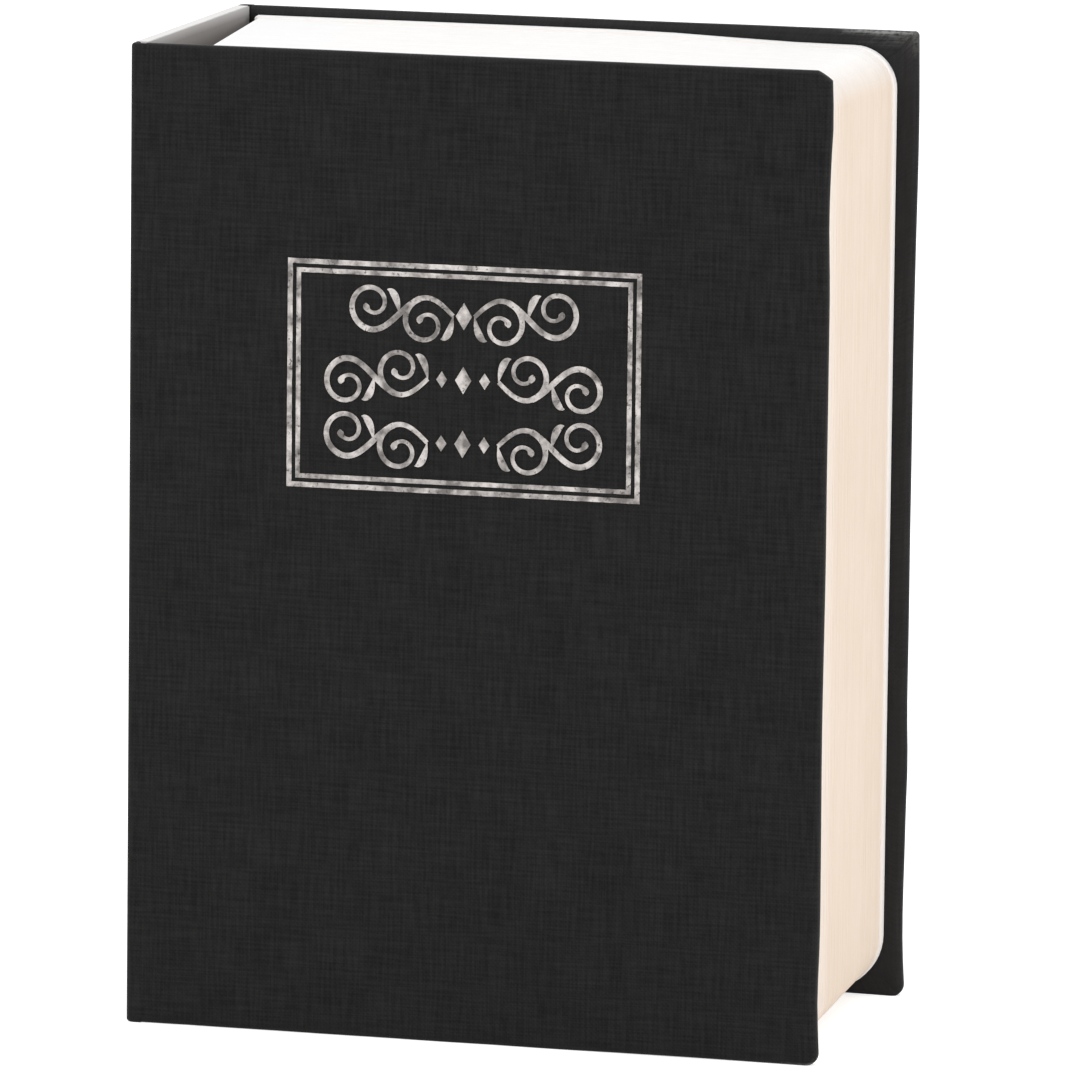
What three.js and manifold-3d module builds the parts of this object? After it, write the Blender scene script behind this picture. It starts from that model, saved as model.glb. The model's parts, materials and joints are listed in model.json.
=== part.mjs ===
// A book that hides a steel cash box. It stands closed on its tail edge.
// Millimetres. +X runs from the spine to the fore-edge, +Y from the front cover to the back, +Z up.
import * as THREE from 'three';
import { mergeVertices } from 'three/addons/utils/BufferGeometryUtils.js';
import Module from 'manifold-3d';

const wasm = await Module();
wasm.setup();

// Cover
const book_height = 180;
const book_width = 130;
const book_depth = 70;
const board_thick = 2.2;
const cloth_thick = 0.4;
const lining_thick = 0.2;
const turn_in_width = 14;
const lining_margin = 5;
const cover_corner_radius = 2.5;
const board_corner_ease = 0.5;

// Cloth joints between the boards and the spine
const pivot_inset = 1.3;
const board_to_pivot = 1.6;
const joint_cloth_thick = 0.8;
const joint_corner_radius = 1.6;

// Foil rules stamped on the front cover
const title_width = 65.6;
const title_height = 41.5;
const title_centre_x = -2.5;
const title_centre_z = 121.6;
const outer_rule_width = 1;
const rule_gap = 0.65;
const inner_rule_width = 0.9;
const stamp_depth = 0.15;
const foil_thick = 0.1;

// Page block shell
const head_square = 1.4;
const fore_edge_square = 3.3;
const spine_gap_at_back = 4.2;
const spine_gap_at_front = 11.1;
const block_corner_radius = 9;
const shell_wall = 2.4;
const front_lip = 1.5;
const back_lip = 1.2;
const lip_rise = 0.3;
const page_line_depth = 0.3;
const page_line_count = 26;
const cover_clearance = 0.3;
const rim_thick = 1.8;
const rim_width = 6.8;
const rim_width_at_hinge = 7.4;
const rim_corner_radius = 5;

// Steel tray
const sheet_thick = 1;
const tray_gap = 1;
const tray_flange_width = 9.2;
const tray_mouth_radius = 4;
const inside_bend_radius = 0.8;

// Piano hinge
const knuckle_radius = 1.8;
const hinge_bore_radius = 1.1;
const hinge_pin_radius = 0.8;
const hinge_pin_head = 0.7;
const knuckle_count = 13;
const knuckle_gap = 0.4;
const leaf_thick = 0.8;
const leaf_shift = 0.25;
const hinge_front_clearance = 0.1;
const hinge_side_clearance = 0.5;
const knuckle_side_clearance = 0.4;
const hinge_end_clearance = 1.5;
const leaf_edge_margin = 0.5;
const lid_leaf_width = 8;

// Steel lid
const lid_gap = 0.8;
const pan_gap = 1;
const pan_depth = 4;
const pan_corner_radius = 3;

// Cam lock
const lock_inset = 12;
const bezel_radius = 8.5;
const bezel_thick = 2.2;
const bezel_chamfer = 0.6;
const bezel_lip = 1;
const barrel_radius = 6;
const barrel_flat = 5.3;
const barrel_length = 12;
const plug_radius = 4.2;
const plug_nose_radius = 3.3;
const plug_recess = 0.4;
const running_gap = 0.3;
const keyway_width = 1.6;
const keyway_height = 5.6;
const keyway_depth = 9.6;
const wafer_count = 4;
const wafer_pitch = 2.2;
const wafer_thick = 0.6;
const wafer_width = 5;
const wafer_height = 6.4;
const wafer_window_width = 2.6;
const wafer_window_height = 4;
const stop_depth = 1;
const stop_tab_angle = THREE.MathUtils.degToRad(40);
const stop_play_angle = THREE.MathUtils.degToRad(5);
const lock_turn_angle = THREE.MathUtils.degToRad(90);
const tail_width = 4.6;
const cam_thick = 2;
const cam_hub_radius = 6;
const cam_tip_radius = 4.5;
const cam_reach = 18.5;
const cam_washer_radius = 4;
const cam_washer_thick = 0.6;
const screw_radius = 1.2;
const screw_head_radius = 2.9;
const screw_head_height = 1.6;
const screw_grip = 4.5;
const screw_socket_radius = 1.3;
const screw_socket_depth = 0.8;
const nut_across_corners = 17.6;
const nut_thick = 2.5;
const nut_chamfer_width = 0.9;
const nut_chamfer_depth = 0.5;

// Strike that the cam hooks behind
const strike_thick = 1.5;
const strike_reach = 8.7;
const strike_height = 22;
const strike_inside_bend_radius = 0.5;

// Facets
const corner_steps = 3;
const block_corner_steps = 8;
const round_steps = 28;
const knuckle_steps = 7;
const bend_steps = 3;
const overrun = 2;
const grid_step = 0.0001;

// Cover planes, measured out from the middle of the book
const half_width = book_width / 2;
const half_depth = book_depth / 2;
const board_outer = half_depth - cloth_thick;
const board_inner = board_outer - board_thick;
const turn_in_plane = board_inner - cloth_thick;
const cover_inner = turn_in_plane - lining_thick;
const pivot_x = -half_width + pivot_inset;
const cover_near = pivot_x + board_to_pivot;
const board_far = half_width - cloth_thick;

// Page block planes
const block_right = half_width - fore_edge_square;
const block_low = head_square;
const block_high = book_height - head_square;
const block_front = -cover_inner + cover_clearance;
const block_back = cover_inner;
const block_left_front = -half_width + spine_gap_at_front;
const block_left_back = -half_width + spine_gap_at_back;
const rim_back = block_front + rim_thick;
const rim_left = block_left_front + rim_width_at_hinge;
const rim_right = block_right - rim_width;
const rim_low = block_low + rim_width;
const rim_high = block_high - rim_width;

// Hinge axis and the sheet planes that follow from it
const hinge_x = rim_left + hinge_side_clearance + knuckle_radius;
const hinge_y = block_front + hinge_front_clearance + knuckle_radius;
const lid_front = hinge_y - leaf_shift;
const lid_back = lid_front + sheet_thick;
const tray_front = hinge_y + leaf_shift + leaf_thick;
const flange_back = tray_front + sheet_thick;

// Tray planes
const tray_left = block_left_front + shell_wall + tray_gap;
const tray_right = block_right - shell_wall - tray_gap;
const tray_low = block_low + shell_wall + tray_gap;
const tray_high = block_high - shell_wall - tray_gap;
const tray_back = block_back;
const tray_corner_radius = block_corner_radius - shell_wall - tray_gap;
const mouth_left = hinge_x - knuckle_radius - running_gap;
const mouth_right = tray_right - tray_flange_width;
const mouth_low = tray_low + tray_flange_width;
const mouth_high = tray_high - tray_flange_width;
const hinge_low = mouth_low + hinge_end_clearance;
const hinge_high = mouth_high - hinge_end_clearance;

// Lid planes
const lid_left = hinge_x + knuckle_radius + knuckle_side_clearance;
const lid_right = rim_right - lid_gap;
const lid_low = rim_low + lid_gap;
const lid_high = rim_high - lid_gap;
const lid_corner_radius = rim_corner_radius - lid_gap;
const pan_left = lid_left + lid_leaf_width + leaf_edge_margin;
const pan_right = mouth_right - pan_gap;
const pan_low = mouth_low + pan_gap;
const pan_high = mouth_high - pan_gap;
const pan_floor = lid_front + pan_depth;
const pan_back = pan_floor + sheet_thick;

// Lock planes, from the front of the bezel to the screw head
const lock_x = pan_right - lock_inset;
const lock_z = book_height / 2;
const bezel_front = pan_floor - bezel_thick;
const barrel_back = pan_floor + barrel_length;
const stop_back = barrel_back + stop_depth;
const plug_front = bezel_front + plug_recess;
const plug_shoulder = bezel_front + bezel_lip + running_gap;
const plug_back = barrel_back + running_gap;
const cam_front = stop_back + running_gap;
const cam_back = cam_front + cam_thick;
const tail_back = cam_back - running_gap;
const cam_washer_back = cam_back + cam_washer_thick;
const bore_radius = plug_radius + running_gap;
const strike_back = cam_front - running_gap;

// Turns a closed three.js geometry into a solid for cutting and joining. Its points are set on a fine
// grid first, so that faces meant to lie in one plane do so exactly.
function solid(geometry) {
  const bare = geometry.clone();
  bare.deleteAttribute('normal');
  bare.deleteAttribute('uv');
  const place = bare.attributes.position;
  place.array.forEach((value, i) => {
    place.array[i] = Math.round(value / grid_step) * grid_step;
  });
  const merged = mergeVertices(bare);
  const vertProperties = new Float32Array(merged.attributes.position.array);
  const triVerts = new Uint32Array(merged.index.array);
  return new wasm.Manifold(new wasm.Mesh({ numProp: 3, vertProperties, triVerts }));
}

// Turns a solid back into a three.js geometry.
function geometryOf(body) {
  const mesh = body.getMesh();
  const geometry = new THREE.BufferGeometry();
  geometry.setAttribute('position', new THREE.BufferAttribute(new Float32Array(mesh.vertProperties), 3));
  geometry.setIndex(new THREE.BufferAttribute(new Uint32Array(mesh.triVerts), 1));
  geometry.computeVertexNormals();
  return geometry;
}

// An upright rectangle in X and Z with its own radius at the left and at the right corners.
function rectangle(left, right, low, high, left_radius, right_radius) {
  const shape = new THREE.Shape();
  shape.moveTo(left + left_radius, low);
  shape.lineTo(right - right_radius, low);
  if (right_radius > 0) {
    shape.absarc(right - right_radius, low + right_radius, right_radius, -Math.PI / 2, 0);
  }
  shape.lineTo(right, high - right_radius);
  if (right_radius > 0) {
    shape.absarc(right - right_radius, high - right_radius, right_radius, 0, Math.PI / 2);
  }
  shape.lineTo(left + left_radius, high);
  if (left_radius > 0) {
    shape.absarc(left + left_radius, high - left_radius, left_radius, Math.PI / 2, Math.PI);
  }
  shape.lineTo(left, low + left_radius);
  if (left_radius > 0) {
    shape.absarc(left + left_radius, low + left_radius, left_radius, Math.PI, 1.5 * Math.PI);
  }
  return shape;
}

// A shape drawn in X and Z, made solid between two planes across Y.
function plate(shape, y_one, y_two) {
  const thick = Math.abs(y_two - y_one);
  const far = Math.max(y_one, y_two);
  const options = { depth: thick, bevelEnabled: false, curveSegments: corner_steps };
  const geometry = new THREE.ExtrudeGeometry(shape, options);
  geometry.rotateX(Math.PI / 2);
  geometry.translate(0, far, 0);
  return solid(geometry);
}

// A shape drawn in X and Y, made solid between two heights.
function column(shape, low, high, steps) {
  const options = { depth: high - low, bevelEnabled: false, curveSegments: steps };
  const geometry = new THREE.ExtrudeGeometry(shape, options);
  geometry.translate(0, 0, low);
  return solid(geometry);
}

function block(left, right, near, far, low, high) {
  return plate(rectangle(left, right, low, high, 0, 0), near, far);
}

// A round part on the lock's axis. The profile gives [radius, y] points from the front to the back.
function turned(profile) {
  const points = profile.map(([radius, y]) => new THREE.Vector2(radius, y));
  const geometry = new THREE.LatheGeometry(points, round_steps);
  geometry.translate(lock_x, 0, lock_z);
  return solid(geometry);
}

// A skin through closed rings of points at rising Y, capped at both ends. The points run from +X towards +Z.
function loft(rings) {
  const count = rings[0].points.length;
  const positions = rings.flatMap(({ y, points }) => points.flatMap((point) => [point.x, y, point.y]));
  const index = [];
  for (let ring = 0; ring + 1 < rings.length; ring++) {
    for (let i = 0; i < count; i++) {
      const a = ring * count + i;
      const b = ring * count + ((i + 1) % count);
      index.push(a, b + count, b, a, a + count, b + count);
    }
  }
  const first_cap = THREE.ShapeUtils.triangulateShape(rings[0].points, []);
  const last_ring = rings[rings.length - 1];
  const last_cap = THREE.ShapeUtils.triangulateShape(last_ring.points, []);
  const last_start = (rings.length - 1) * count;
  first_cap.forEach(([a, b, c]) => index.push(a, b, c));
  last_cap.forEach(([a, b, c]) => index.push(last_start + a, last_start + c, last_start + b));
  const geometry = new THREE.BufferGeometry();
  geometry.setAttribute('position', new THREE.Float32BufferAttribute(positions, 3));
  geometry.setIndex(index);
  return solid(geometry);
}

// Insets and depths round a bend, from the face that it leaves to the wall that it meets.
function bendSteps(radius) {
  const steps = Array.from({ length: bend_steps + 1 }, (_, step) => (step / bend_steps) * (Math.PI / 2));
  return steps.map((angle) => [radius * (1 - Math.sin(angle)), radius * (1 - Math.cos(angle))]);
}

// A box of folded sheet: its walls run from y_front to y_back and meet the faces in bends. A bend of 0 is open.
function foldedBlock([left, right, low, high, radius], [y_front, front_bend], [y_back, back_bend]) {
  const ring = (inset, y) => {
    const corner = radius - inset;
    const outline = rectangle(left + inset, right - inset, low + inset, high - inset, corner, corner);
    return { y, points: outline.getPoints(corner_steps).slice(0, -1) };
  };
  const front = front_bend > 0 ? bendSteps(front_bend) : [[0, 0]];
  const back = back_bend > 0 ? bendSteps(back_bend).reverse() : [[0, 0]];
  const rings = front.map(([inset, depth]) => ring(inset, y_front + depth));
  return loft(rings.concat(back.map(([inset, depth]) => ring(inset, y_back - depth))));
}

const finishes = {
  cloth: { color: 0x2c2c2c, roughness: 0.85, metalness: 0 },
  card: { color: 0x9a9184, roughness: 0.95, metalness: 0 },
  pale_card: { color: 0xe6e3e1, roughness: 0.9, metalness: 0 },
  paper: { color: 0xe9e6e2, roughness: 0.9, metalness: 0 },
  foil: { color: 0xc8beb4, roughness: 0.35, metalness: 0.8 },
  pages: { color: 0xeedccd, roughness: 0.6, metalness: 0 },
  black_steel: { color: 0x1b1c1e, roughness: 0.5, metalness: 0.3 },
  plated: { color: 0xb9bbbd, roughness: 0.25, metalness: 1 },
  brass: { color: 0xb89a4f, roughness: 0.3, metalness: 1 },
};

const group = new THREE.Group();

function add(name, finish, body) {
  const material = new THREE.MeshStandardMaterial(finishes[finish]);
  const mesh = new THREE.Mesh(geometryOf(body), material);
  mesh.name = name;
  group.add(mesh);
}

// Cover boards, cloth and lining. A side of -1 is the front cover and 1 is the back cover.

function coverBoard(side) {
  const radius = cover_corner_radius + board_corner_ease;
  const outline = rectangle(cover_near, board_far, cloth_thick, book_height - cloth_thick, 0, radius);
  return plate(outline, side * board_outer, side * board_inner);
}

function coverCloth(side) {
  const outline = rectangle(cover_near, half_width, 0, book_height, 0, cover_corner_radius);
  const skin = plate(outline, side * half_depth, side * turn_in_plane);
  const pocket_radius = cover_corner_radius - cloth_thick;
  const pocket_high = book_height - cloth_thick;
  const pocket = rectangle(cover_near - overrun, board_far, cloth_thick, pocket_high, 0, pocket_radius);
  const window_right = half_width - turn_in_width;
  const window_high = book_height - turn_in_width;
  const window = rectangle(cover_near - overrun, window_right, turn_in_width, window_high, 0, 0);
  return skin
    .subtract(plate(pocket, side * board_outer, side * board_inner))
    .subtract(plate(window, side * board_outer, side * (turn_in_plane - overrun)));
}

function coverLining(side) {
  const window_right = half_width - turn_in_width;
  const window = rectangle(cover_near, window_right, turn_in_width, book_height - turn_in_width, 0, 0);
  const sheet_right = half_width - lining_margin;
  const sheet = rectangle(cover_near, sheet_right, lining_margin, book_height - lining_margin, 0, 0);
  return plate(window, side * board_inner, side * cover_inner)
    .add(plate(sheet, side * turn_in_plane, side * cover_inner));
}

// The ring between two rectangles of the title panel, set in by two margins.
function titleRing(outer_margin, inner_margin, y_one, y_two) {
  const left = title_centre_x - title_width / 2;
  const right = title_centre_x + title_width / 2;
  const low = title_centre_z - title_height / 2;
  const high = title_centre_z + title_height / 2;
  const inset = (m) => rectangle(left + m, right - m, low + m, high - m, 0, 0);
  const hole = plate(inset(inner_margin), y_one - overrun, y_two + overrun);
  return plate(inset(outer_margin), y_one, y_two).subtract(hole);
}

const inner_rule_margin = outer_rule_width + rule_gap;
const title_rules = [
  ['title_rule_outer', 0, outer_rule_width],
  ['title_rule_inner', inner_rule_margin, inner_rule_margin + inner_rule_width],
];
const stamp_floor = -half_depth + stamp_depth;
let front_cloth = coverCloth(-1);
for (const [, outer_margin, inner_margin] of title_rules) {
  front_cloth = front_cloth.subtract(titleRing(outer_margin, inner_margin, -half_depth - overrun, stamp_floor));
}

add('back_board', 'card', coverBoard(1));
add('back_cloth', 'cloth', coverCloth(1));
add('back_lining', 'paper', coverLining(1));
add('front_board', 'card', coverBoard(-1));
add('front_cloth', 'cloth', front_cloth);
add('front_lining', 'paper', coverLining(-1));
for (const [name, outer_margin, inner_margin] of title_rules) {
  add(name, 'foil', titleRing(outer_margin, inner_margin, stamp_floor - foil_thick, stamp_floor));
}

// Spine: a flat card strip with cloth outside and pale paper inside.

const spine_outer = -half_width;
const spine_board_outer = spine_outer + cloth_thick;
const spine_board_inner = spine_board_outer + board_thick;
const spine_inner = spine_board_inner + lining_thick;

function spineLayer(outer_x, inner_x) {
  return block(outer_x, inner_x, -cover_inner, cover_inner, 0, book_height);
}

add('spine_board', 'pale_card', spineLayer(spine_board_outer, spine_board_inner));
add('spine_cloth', 'cloth', spineLayer(spine_outer, spine_board_outer));
add('spine_lining', 'paper', spineLayer(spine_board_inner, spine_inner));

// The cloth that turns the corner from a board to the spine.
function jointCloth(side) {
  const outer = joint_corner_radius;
  const inner = outer - joint_cloth_thick;
  const centre_x = -half_width + outer;
  const centre_y = half_depth - outer;
  const shape = new THREE.Shape();
  shape.moveTo(cover_near, half_depth);
  shape.lineTo(centre_x, half_depth);
  shape.absarc(centre_x, centre_y, outer, Math.PI / 2, Math.PI);
  shape.lineTo(-half_width, cover_inner);
  shape.lineTo(-half_width + joint_cloth_thick, cover_inner);
  shape.lineTo(-half_width + joint_cloth_thick, centre_y);
  shape.absarc(centre_x, centre_y, inner, Math.PI, Math.PI / 2, true);
  shape.lineTo(cover_near, half_depth - joint_cloth_thick);
  const strip = column(shape, 0, book_height, corner_steps);
  return side > 0 ? strip : strip.mirror([0, 1, 0]);
}

add('back_joint_cloth', 'cloth', jointCloth(1));
add('front_joint_cloth', 'cloth', jointCloth(-1));

// Page block shell: moulded page edges on four sides and a rim round the lid.

function blockLeft(y) {
  const share = (y - block_front) / (block_back - block_front);
  return block_left_front + (block_left_back - block_left_front) * share;
}

function blockRing(y, inset) {
  const left = blockLeft(y) + inset;
  const radius = block_corner_radius - inset;
  const centre_x = block_right - block_corner_radius;
  const points = [new THREE.Vector2(left, block_low + inset)];
  for (const [centre_z, start] of [
    [block_low + block_corner_radius, -Math.PI / 2],
    [block_high - block_corner_radius, 0],
  ]) {
    for (let step = 0; step <= block_corner_steps; step++) {
      const angle = start + (step / block_corner_steps) * (Math.PI / 2);
      const x = centre_x + radius * Math.cos(angle);
      points.push(new THREE.Vector2(x, centre_z + radius * Math.sin(angle)));
    }
  }
  points.push(new THREE.Vector2(left, block_high - inset));
  return { y, points };
}

function pageShell() {
  const pages_front = block_front + front_lip;
  const pages_back = block_back - back_lip;
  const pitch = (pages_back - pages_front) / page_line_count;
  const rings = [blockRing(block_front, 0), blockRing(pages_front, 0), blockRing(pages_front, lip_rise)];
  for (let line = 0; line < page_line_count; line++) {
    const start = pages_front + line * pitch;
    rings.push(blockRing(start + pitch / 2, lip_rise + page_line_depth));
    rings.push(blockRing(start + pitch, lip_rise));
  }
  rings.push(blockRing(pages_back, 0), blockRing(block_back, 0));
  const hollow = loft([blockRing(rim_back, shell_wall), blockRing(block_back + overrun, shell_wall)]);
  const rim_hole = rectangle(rim_left, rim_right, rim_low, rim_high, rim_corner_radius, rim_corner_radius);
  return loft(rings).subtract(hollow).subtract(plate(rim_hole, block_front - overrun, rim_back + overrun));
}

add('page_shell', 'pages', pageShell());

// Steel tray: folded walls and a flange turned in round the mouth.

const outside_bend_radius = inside_bend_radius + sheet_thick;

function cashTray() {
  const radius = tray_corner_radius;
  const outline = [tray_left, tray_right, tray_low, tray_high, radius];
  const inside_left = tray_left + sheet_thick;
  const inside_right = tray_right - sheet_thick;
  const inside_low = tray_low + sheet_thick;
  const inside_high = tray_high - sheet_thick;
  const inside_radius = radius - sheet_thick;
  const inside = [inside_left, inside_right, inside_low, inside_high, inside_radius];
  const mouth = rectangle(mouth_left, mouth_right, mouth_low, mouth_high, 0, tray_mouth_radius);
  const floor_front = tray_back - sheet_thick;
  return foldedBlock(outline, [tray_front, outside_bend_radius], [tray_back, outside_bend_radius])
    .subtract(foldedBlock(inside, [flange_back, inside_bend_radius], [floor_front, inside_bend_radius]))
    .subtract(plate(mouth, tray_front - overrun, flange_back + overrun));
}

add('cash_tray', 'black_steel', cashTray());

// Piano hinge: two leaves with knuckles that take turns along one pin.

const knuckle_pitch = (hinge_high - hinge_low) / knuckle_count;

function circle(radius) {
  const shape = new THREE.Shape();
  shape.absarc(hinge_x, hinge_y, radius, 0, 2 * Math.PI);
  return shape;
}

// A side of -1 is the tray's leaf, left of the pin, and 1 is the lid's leaf, right of it.
function hingeLeaf(side, first_knuckle, leaf_far) {
  const near = hinge_x + side * (knuckle_radius + knuckle_side_clearance);
  const y_one = hinge_y - side * leaf_shift;
  const y_two = y_one - side * leaf_thick;
  const plate_low = Math.min(near, leaf_far);
  const plate_high = Math.max(near, leaf_far);
  let leaf = block(plate_low, plate_high, y_one, y_two, hinge_low, hinge_high);
  for (let i = first_knuckle; i < knuckle_count; i += 2) {
    const low = hinge_low + i * knuckle_pitch + knuckle_gap / 2;
    const high = low + knuckle_pitch - knuckle_gap;
    const tab_end = near + side * leaf_edge_margin;
    leaf = leaf.add(block(Math.min(hinge_x, tab_end), Math.max(hinge_x, tab_end), y_one, y_two, low, high));
    leaf = leaf.add(column(circle(knuckle_radius), low, high, knuckle_steps));
  }
  return leaf.subtract(column(circle(hinge_bore_radius), hinge_low - overrun, hinge_high + overrun, knuckle_steps));
}

function hingePin() {
  const head_low = column(circle(knuckle_radius), hinge_low - hinge_pin_head, hinge_low - running_gap, knuckle_steps);
  const head_high = column(circle(knuckle_radius), hinge_high + running_gap, hinge_high + hinge_pin_head, knuckle_steps);
  const shank = column(circle(hinge_pin_radius), hinge_low - hinge_pin_head, hinge_high + hinge_pin_head, knuckle_steps);
  return shank.add(head_low).add(head_high);
}

add('tray_hinge_leaf', 'black_steel', hingeLeaf(-1, 0, tray_left + leaf_edge_margin));
add('lid_hinge_leaf', 'black_steel', hingeLeaf(1, 1, pan_left - leaf_edge_margin));
add('hinge_pin', 'plated', hingePin());

// Lid: a pressed pan with a flat flange round it and a hole for the lock.

function barrelSection(clearance, y_one, y_two) {
  const radius = barrel_radius + clearance;
  const flat = barrel_flat + clearance;
  const round = turned([[0, y_one], [radius, y_one], [radius, y_two], [0, y_two]]);
  const flats = block(lock_x - flat, lock_x + flat, y_one, y_two, lock_z - radius, lock_z + radius);
  return round.intersect(flats);
}

function boxLid() {
  const flange = rectangle(lid_left, lid_right, lid_low, lid_high, 0, lid_corner_radius);
  const pan = [pan_left, pan_right, pan_low, pan_high, pan_corner_radius];
  const dish_left = pan_left + sheet_thick;
  const dish_right = pan_right - sheet_thick;
  const dish_low = pan_low + sheet_thick;
  const dish_high = pan_high - sheet_thick;
  const dish_radius = pan_corner_radius - sheet_thick;
  const dish = [dish_left, dish_right, dish_low, dish_high, dish_radius];
  return plate(flange, lid_front, lid_back)
    .add(foldedBlock(pan, [lid_front, 0], [pan_back, outside_bend_radius]))
    .subtract(foldedBlock(dish, [lid_front - overrun, 0], [pan_floor, inside_bend_radius]))
    .subtract(barrelSection(running_gap, pan_floor - overrun, pan_back + overrun));
}

add('box_lid', 'black_steel', boxLid());

// Cam lock: housing, nut, plug with wafers, stop washer, cam, washer and screw.

// A sector of a round, for the stop's notch. Angles turn from +X towards +Z.
function sector(radius, start_angle, end_angle, y_one, y_two) {
  const shape = new THREE.Shape();
  shape.moveTo(lock_x, lock_z);
  shape.lineTo(lock_x + radius * Math.cos(start_angle), lock_z + radius * Math.sin(start_angle));
  shape.absarc(lock_x, lock_z, radius, start_angle, end_angle);
  return plate(shape, y_one, y_two);
}

function lockBlock(width, height, y_one, y_two) {
  const half_w = width / 2;
  const half_h = height / 2;
  return block(lock_x - half_w, lock_x + half_w, y_one, y_two, lock_z - half_h, lock_z + half_h);
}

const tab_start = (Math.PI - stop_tab_angle) / 2;
const tab_end = tab_start + stop_tab_angle;

function lockHousing() {
  const bezel = turned([
    [0, bezel_front],
    [bezel_radius - bezel_chamfer, bezel_front],
    [bezel_radius, bezel_front + bezel_chamfer],
    [bezel_radius, pan_floor],
    [0, pan_floor],
  ]);
  const bore_front = bezel_front + bezel_lip;
  const bore = turned([
    [0, bezel_front - overrun],
    [plug_nose_radius + running_gap, bezel_front - overrun],
    [plug_nose_radius + running_gap, bore_front],
    [bore_radius, bore_front],
    [bore_radius, stop_back + overrun],
    [0, stop_back + overrun],
  ]);
  const notch_start = tab_start - stop_play_angle;
  const notch_end = tab_end + lock_turn_angle + stop_play_angle;
  const notch = sector(bezel_radius, notch_start, notch_end, barrel_back, stop_back + overrun);
  return bezel.add(barrelSection(0, pan_floor - bezel_lip, stop_back)).subtract(bore).subtract(notch);
}

function lockNut() {
  const shape = new THREE.Shape();
  for (let corner = 0; corner < 6; corner++) {
    const angle = (corner * Math.PI) / 3 + Math.PI / 6;
    const x = lock_x + (nut_across_corners / 2) * Math.cos(angle);
    const z = lock_z + (nut_across_corners / 2) * Math.sin(angle);
    corner ? shape.lineTo(x, z) : shape.moveTo(x, z);
  }
  const nut_back = pan_back + nut_thick;
  const face_radius = nut_across_corners / 2 - nut_chamfer_width;
  const clear_radius = nut_across_corners / 2 + nut_chamfer_width;
  const chamfers = turned([
    [0, pan_back],
    [face_radius, pan_back],
    [clear_radius, pan_back + 2 * nut_chamfer_depth],
    [clear_radius, nut_back - 2 * nut_chamfer_depth],
    [face_radius, nut_back],
    [0, nut_back],
  ]);
  const hole_radius = barrel_radius + running_gap;
  const hole = turned([
    [0, pan_back - overrun],
    [hole_radius, pan_back - overrun],
    [hole_radius, nut_back + overrun],
    [0, nut_back + overrun],
  ]);
  return plate(shape, pan_back, nut_back).intersect(chamfers).subtract(hole);
}

const slot_thick = wafer_thick + 2 * running_gap;
const first_slot = plug_shoulder + slot_thick;
const slotFront = (i) => first_slot + i * wafer_pitch;

function lockPlug() {
  const body = turned([
    [0, plug_front],
    [plug_nose_radius, plug_front],
    [plug_nose_radius, plug_shoulder],
    [plug_radius, plug_shoulder],
    [plug_radius, plug_back],
    [0, plug_back],
  ]);
  let plug = body.add(lockBlock(tail_width, tail_width, plug_back - running_gap, tail_back));
  plug = plug.subtract(lockBlock(keyway_width, keyway_height, plug_front - overrun, plug_front + keyway_depth));
  for (let i = 0; i < wafer_count; i++) {
    const slot_width = wafer_width + 2 * running_gap;
    plug = plug.subtract(lockBlock(slot_width, 2 * bezel_radius, slotFront(i), slotFront(i) + slot_thick));
  }
  const hole_radius = screw_radius + running_gap;
  const hole_front = cam_back - screw_grip - running_gap;
  return plug.subtract(turned([
    [0, hole_front],
    [hole_radius, hole_front],
    [hole_radius, tail_back + overrun],
    [0, tail_back + overrun],
  ]));
}

function lockWafer(i) {
  const front = slotFront(i) + running_gap;
  const back = front + wafer_thick;
  const window = lockBlock(wafer_window_width, wafer_window_height, front - overrun, back + overrun);
  return lockBlock(wafer_width, wafer_height, front, back).subtract(window);
}

function squareHole(y_one, y_two) {
  const width = tail_width + 2 * running_gap;
  return lockBlock(width, width, y_one - overrun, y_two + overrun);
}

function stopWasher() {
  const shape = new THREE.Shape();
  shape.absarc(lock_x, lock_z, plug_radius, tab_end, tab_start + 2 * Math.PI);
  shape.absarc(lock_x, lock_z, barrel_radius, tab_start, tab_end);
  return plate(shape, plug_back, cam_front).subtract(squareHole(plug_back, cam_front));
}

// The cam hangs down when the lock is open. Its arm narrows to a round tip.
function lockCam() {
  const tip_z = lock_z - cam_reach + cam_tip_radius;
  const shape = new THREE.Shape();
  shape.absarc(lock_x, lock_z, cam_hub_radius, 0, Math.PI);
  shape.absarc(lock_x, tip_z, cam_tip_radius, Math.PI, 2 * Math.PI);
  return plate(shape, cam_front, cam_back).subtract(squareHole(cam_front, cam_back));
}

function camWasher() {
  const hole_radius = screw_radius + running_gap;
  return turned([
    [hole_radius, cam_back],
    [cam_washer_radius, cam_back],
    [cam_washer_radius, cam_washer_back],
    [hole_radius, cam_washer_back],
    [hole_radius, cam_back],
  ]);
}

function camScrew() {
  const head_back = cam_washer_back + screw_head_height;
  const socket_floor = head_back - screw_socket_depth;
  return turned([
    [0, cam_back - screw_grip],
    [screw_radius, cam_back - screw_grip],
    [screw_radius, cam_washer_back],
    [screw_head_radius, cam_washer_back],
    [screw_head_radius - running_gap, head_back],
    [screw_socket_radius, head_back],
    [screw_socket_radius, socket_floor],
    [0, socket_floor],
  ]);
}

add('lock_housing', 'plated', lockHousing());
add('lock_nut', 'plated', lockNut());
add('lock_plug', 'brass', lockPlug());
for (let i = 0; i < wafer_count; i++) {
  add(`lock_wafer_${i + 1}`, 'brass', lockWafer(i));
}
add('lock_stop_washer', 'plated', stopWasher());
add('lock_cam', 'plated', lockCam());
add('cam_washer', 'plated', camWasher());
add('cam_screw', 'plated', camScrew());

// Strike: a bent strip on the tray's wall, with a leg that the cam turns behind. It clears the tray's bend.

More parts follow.
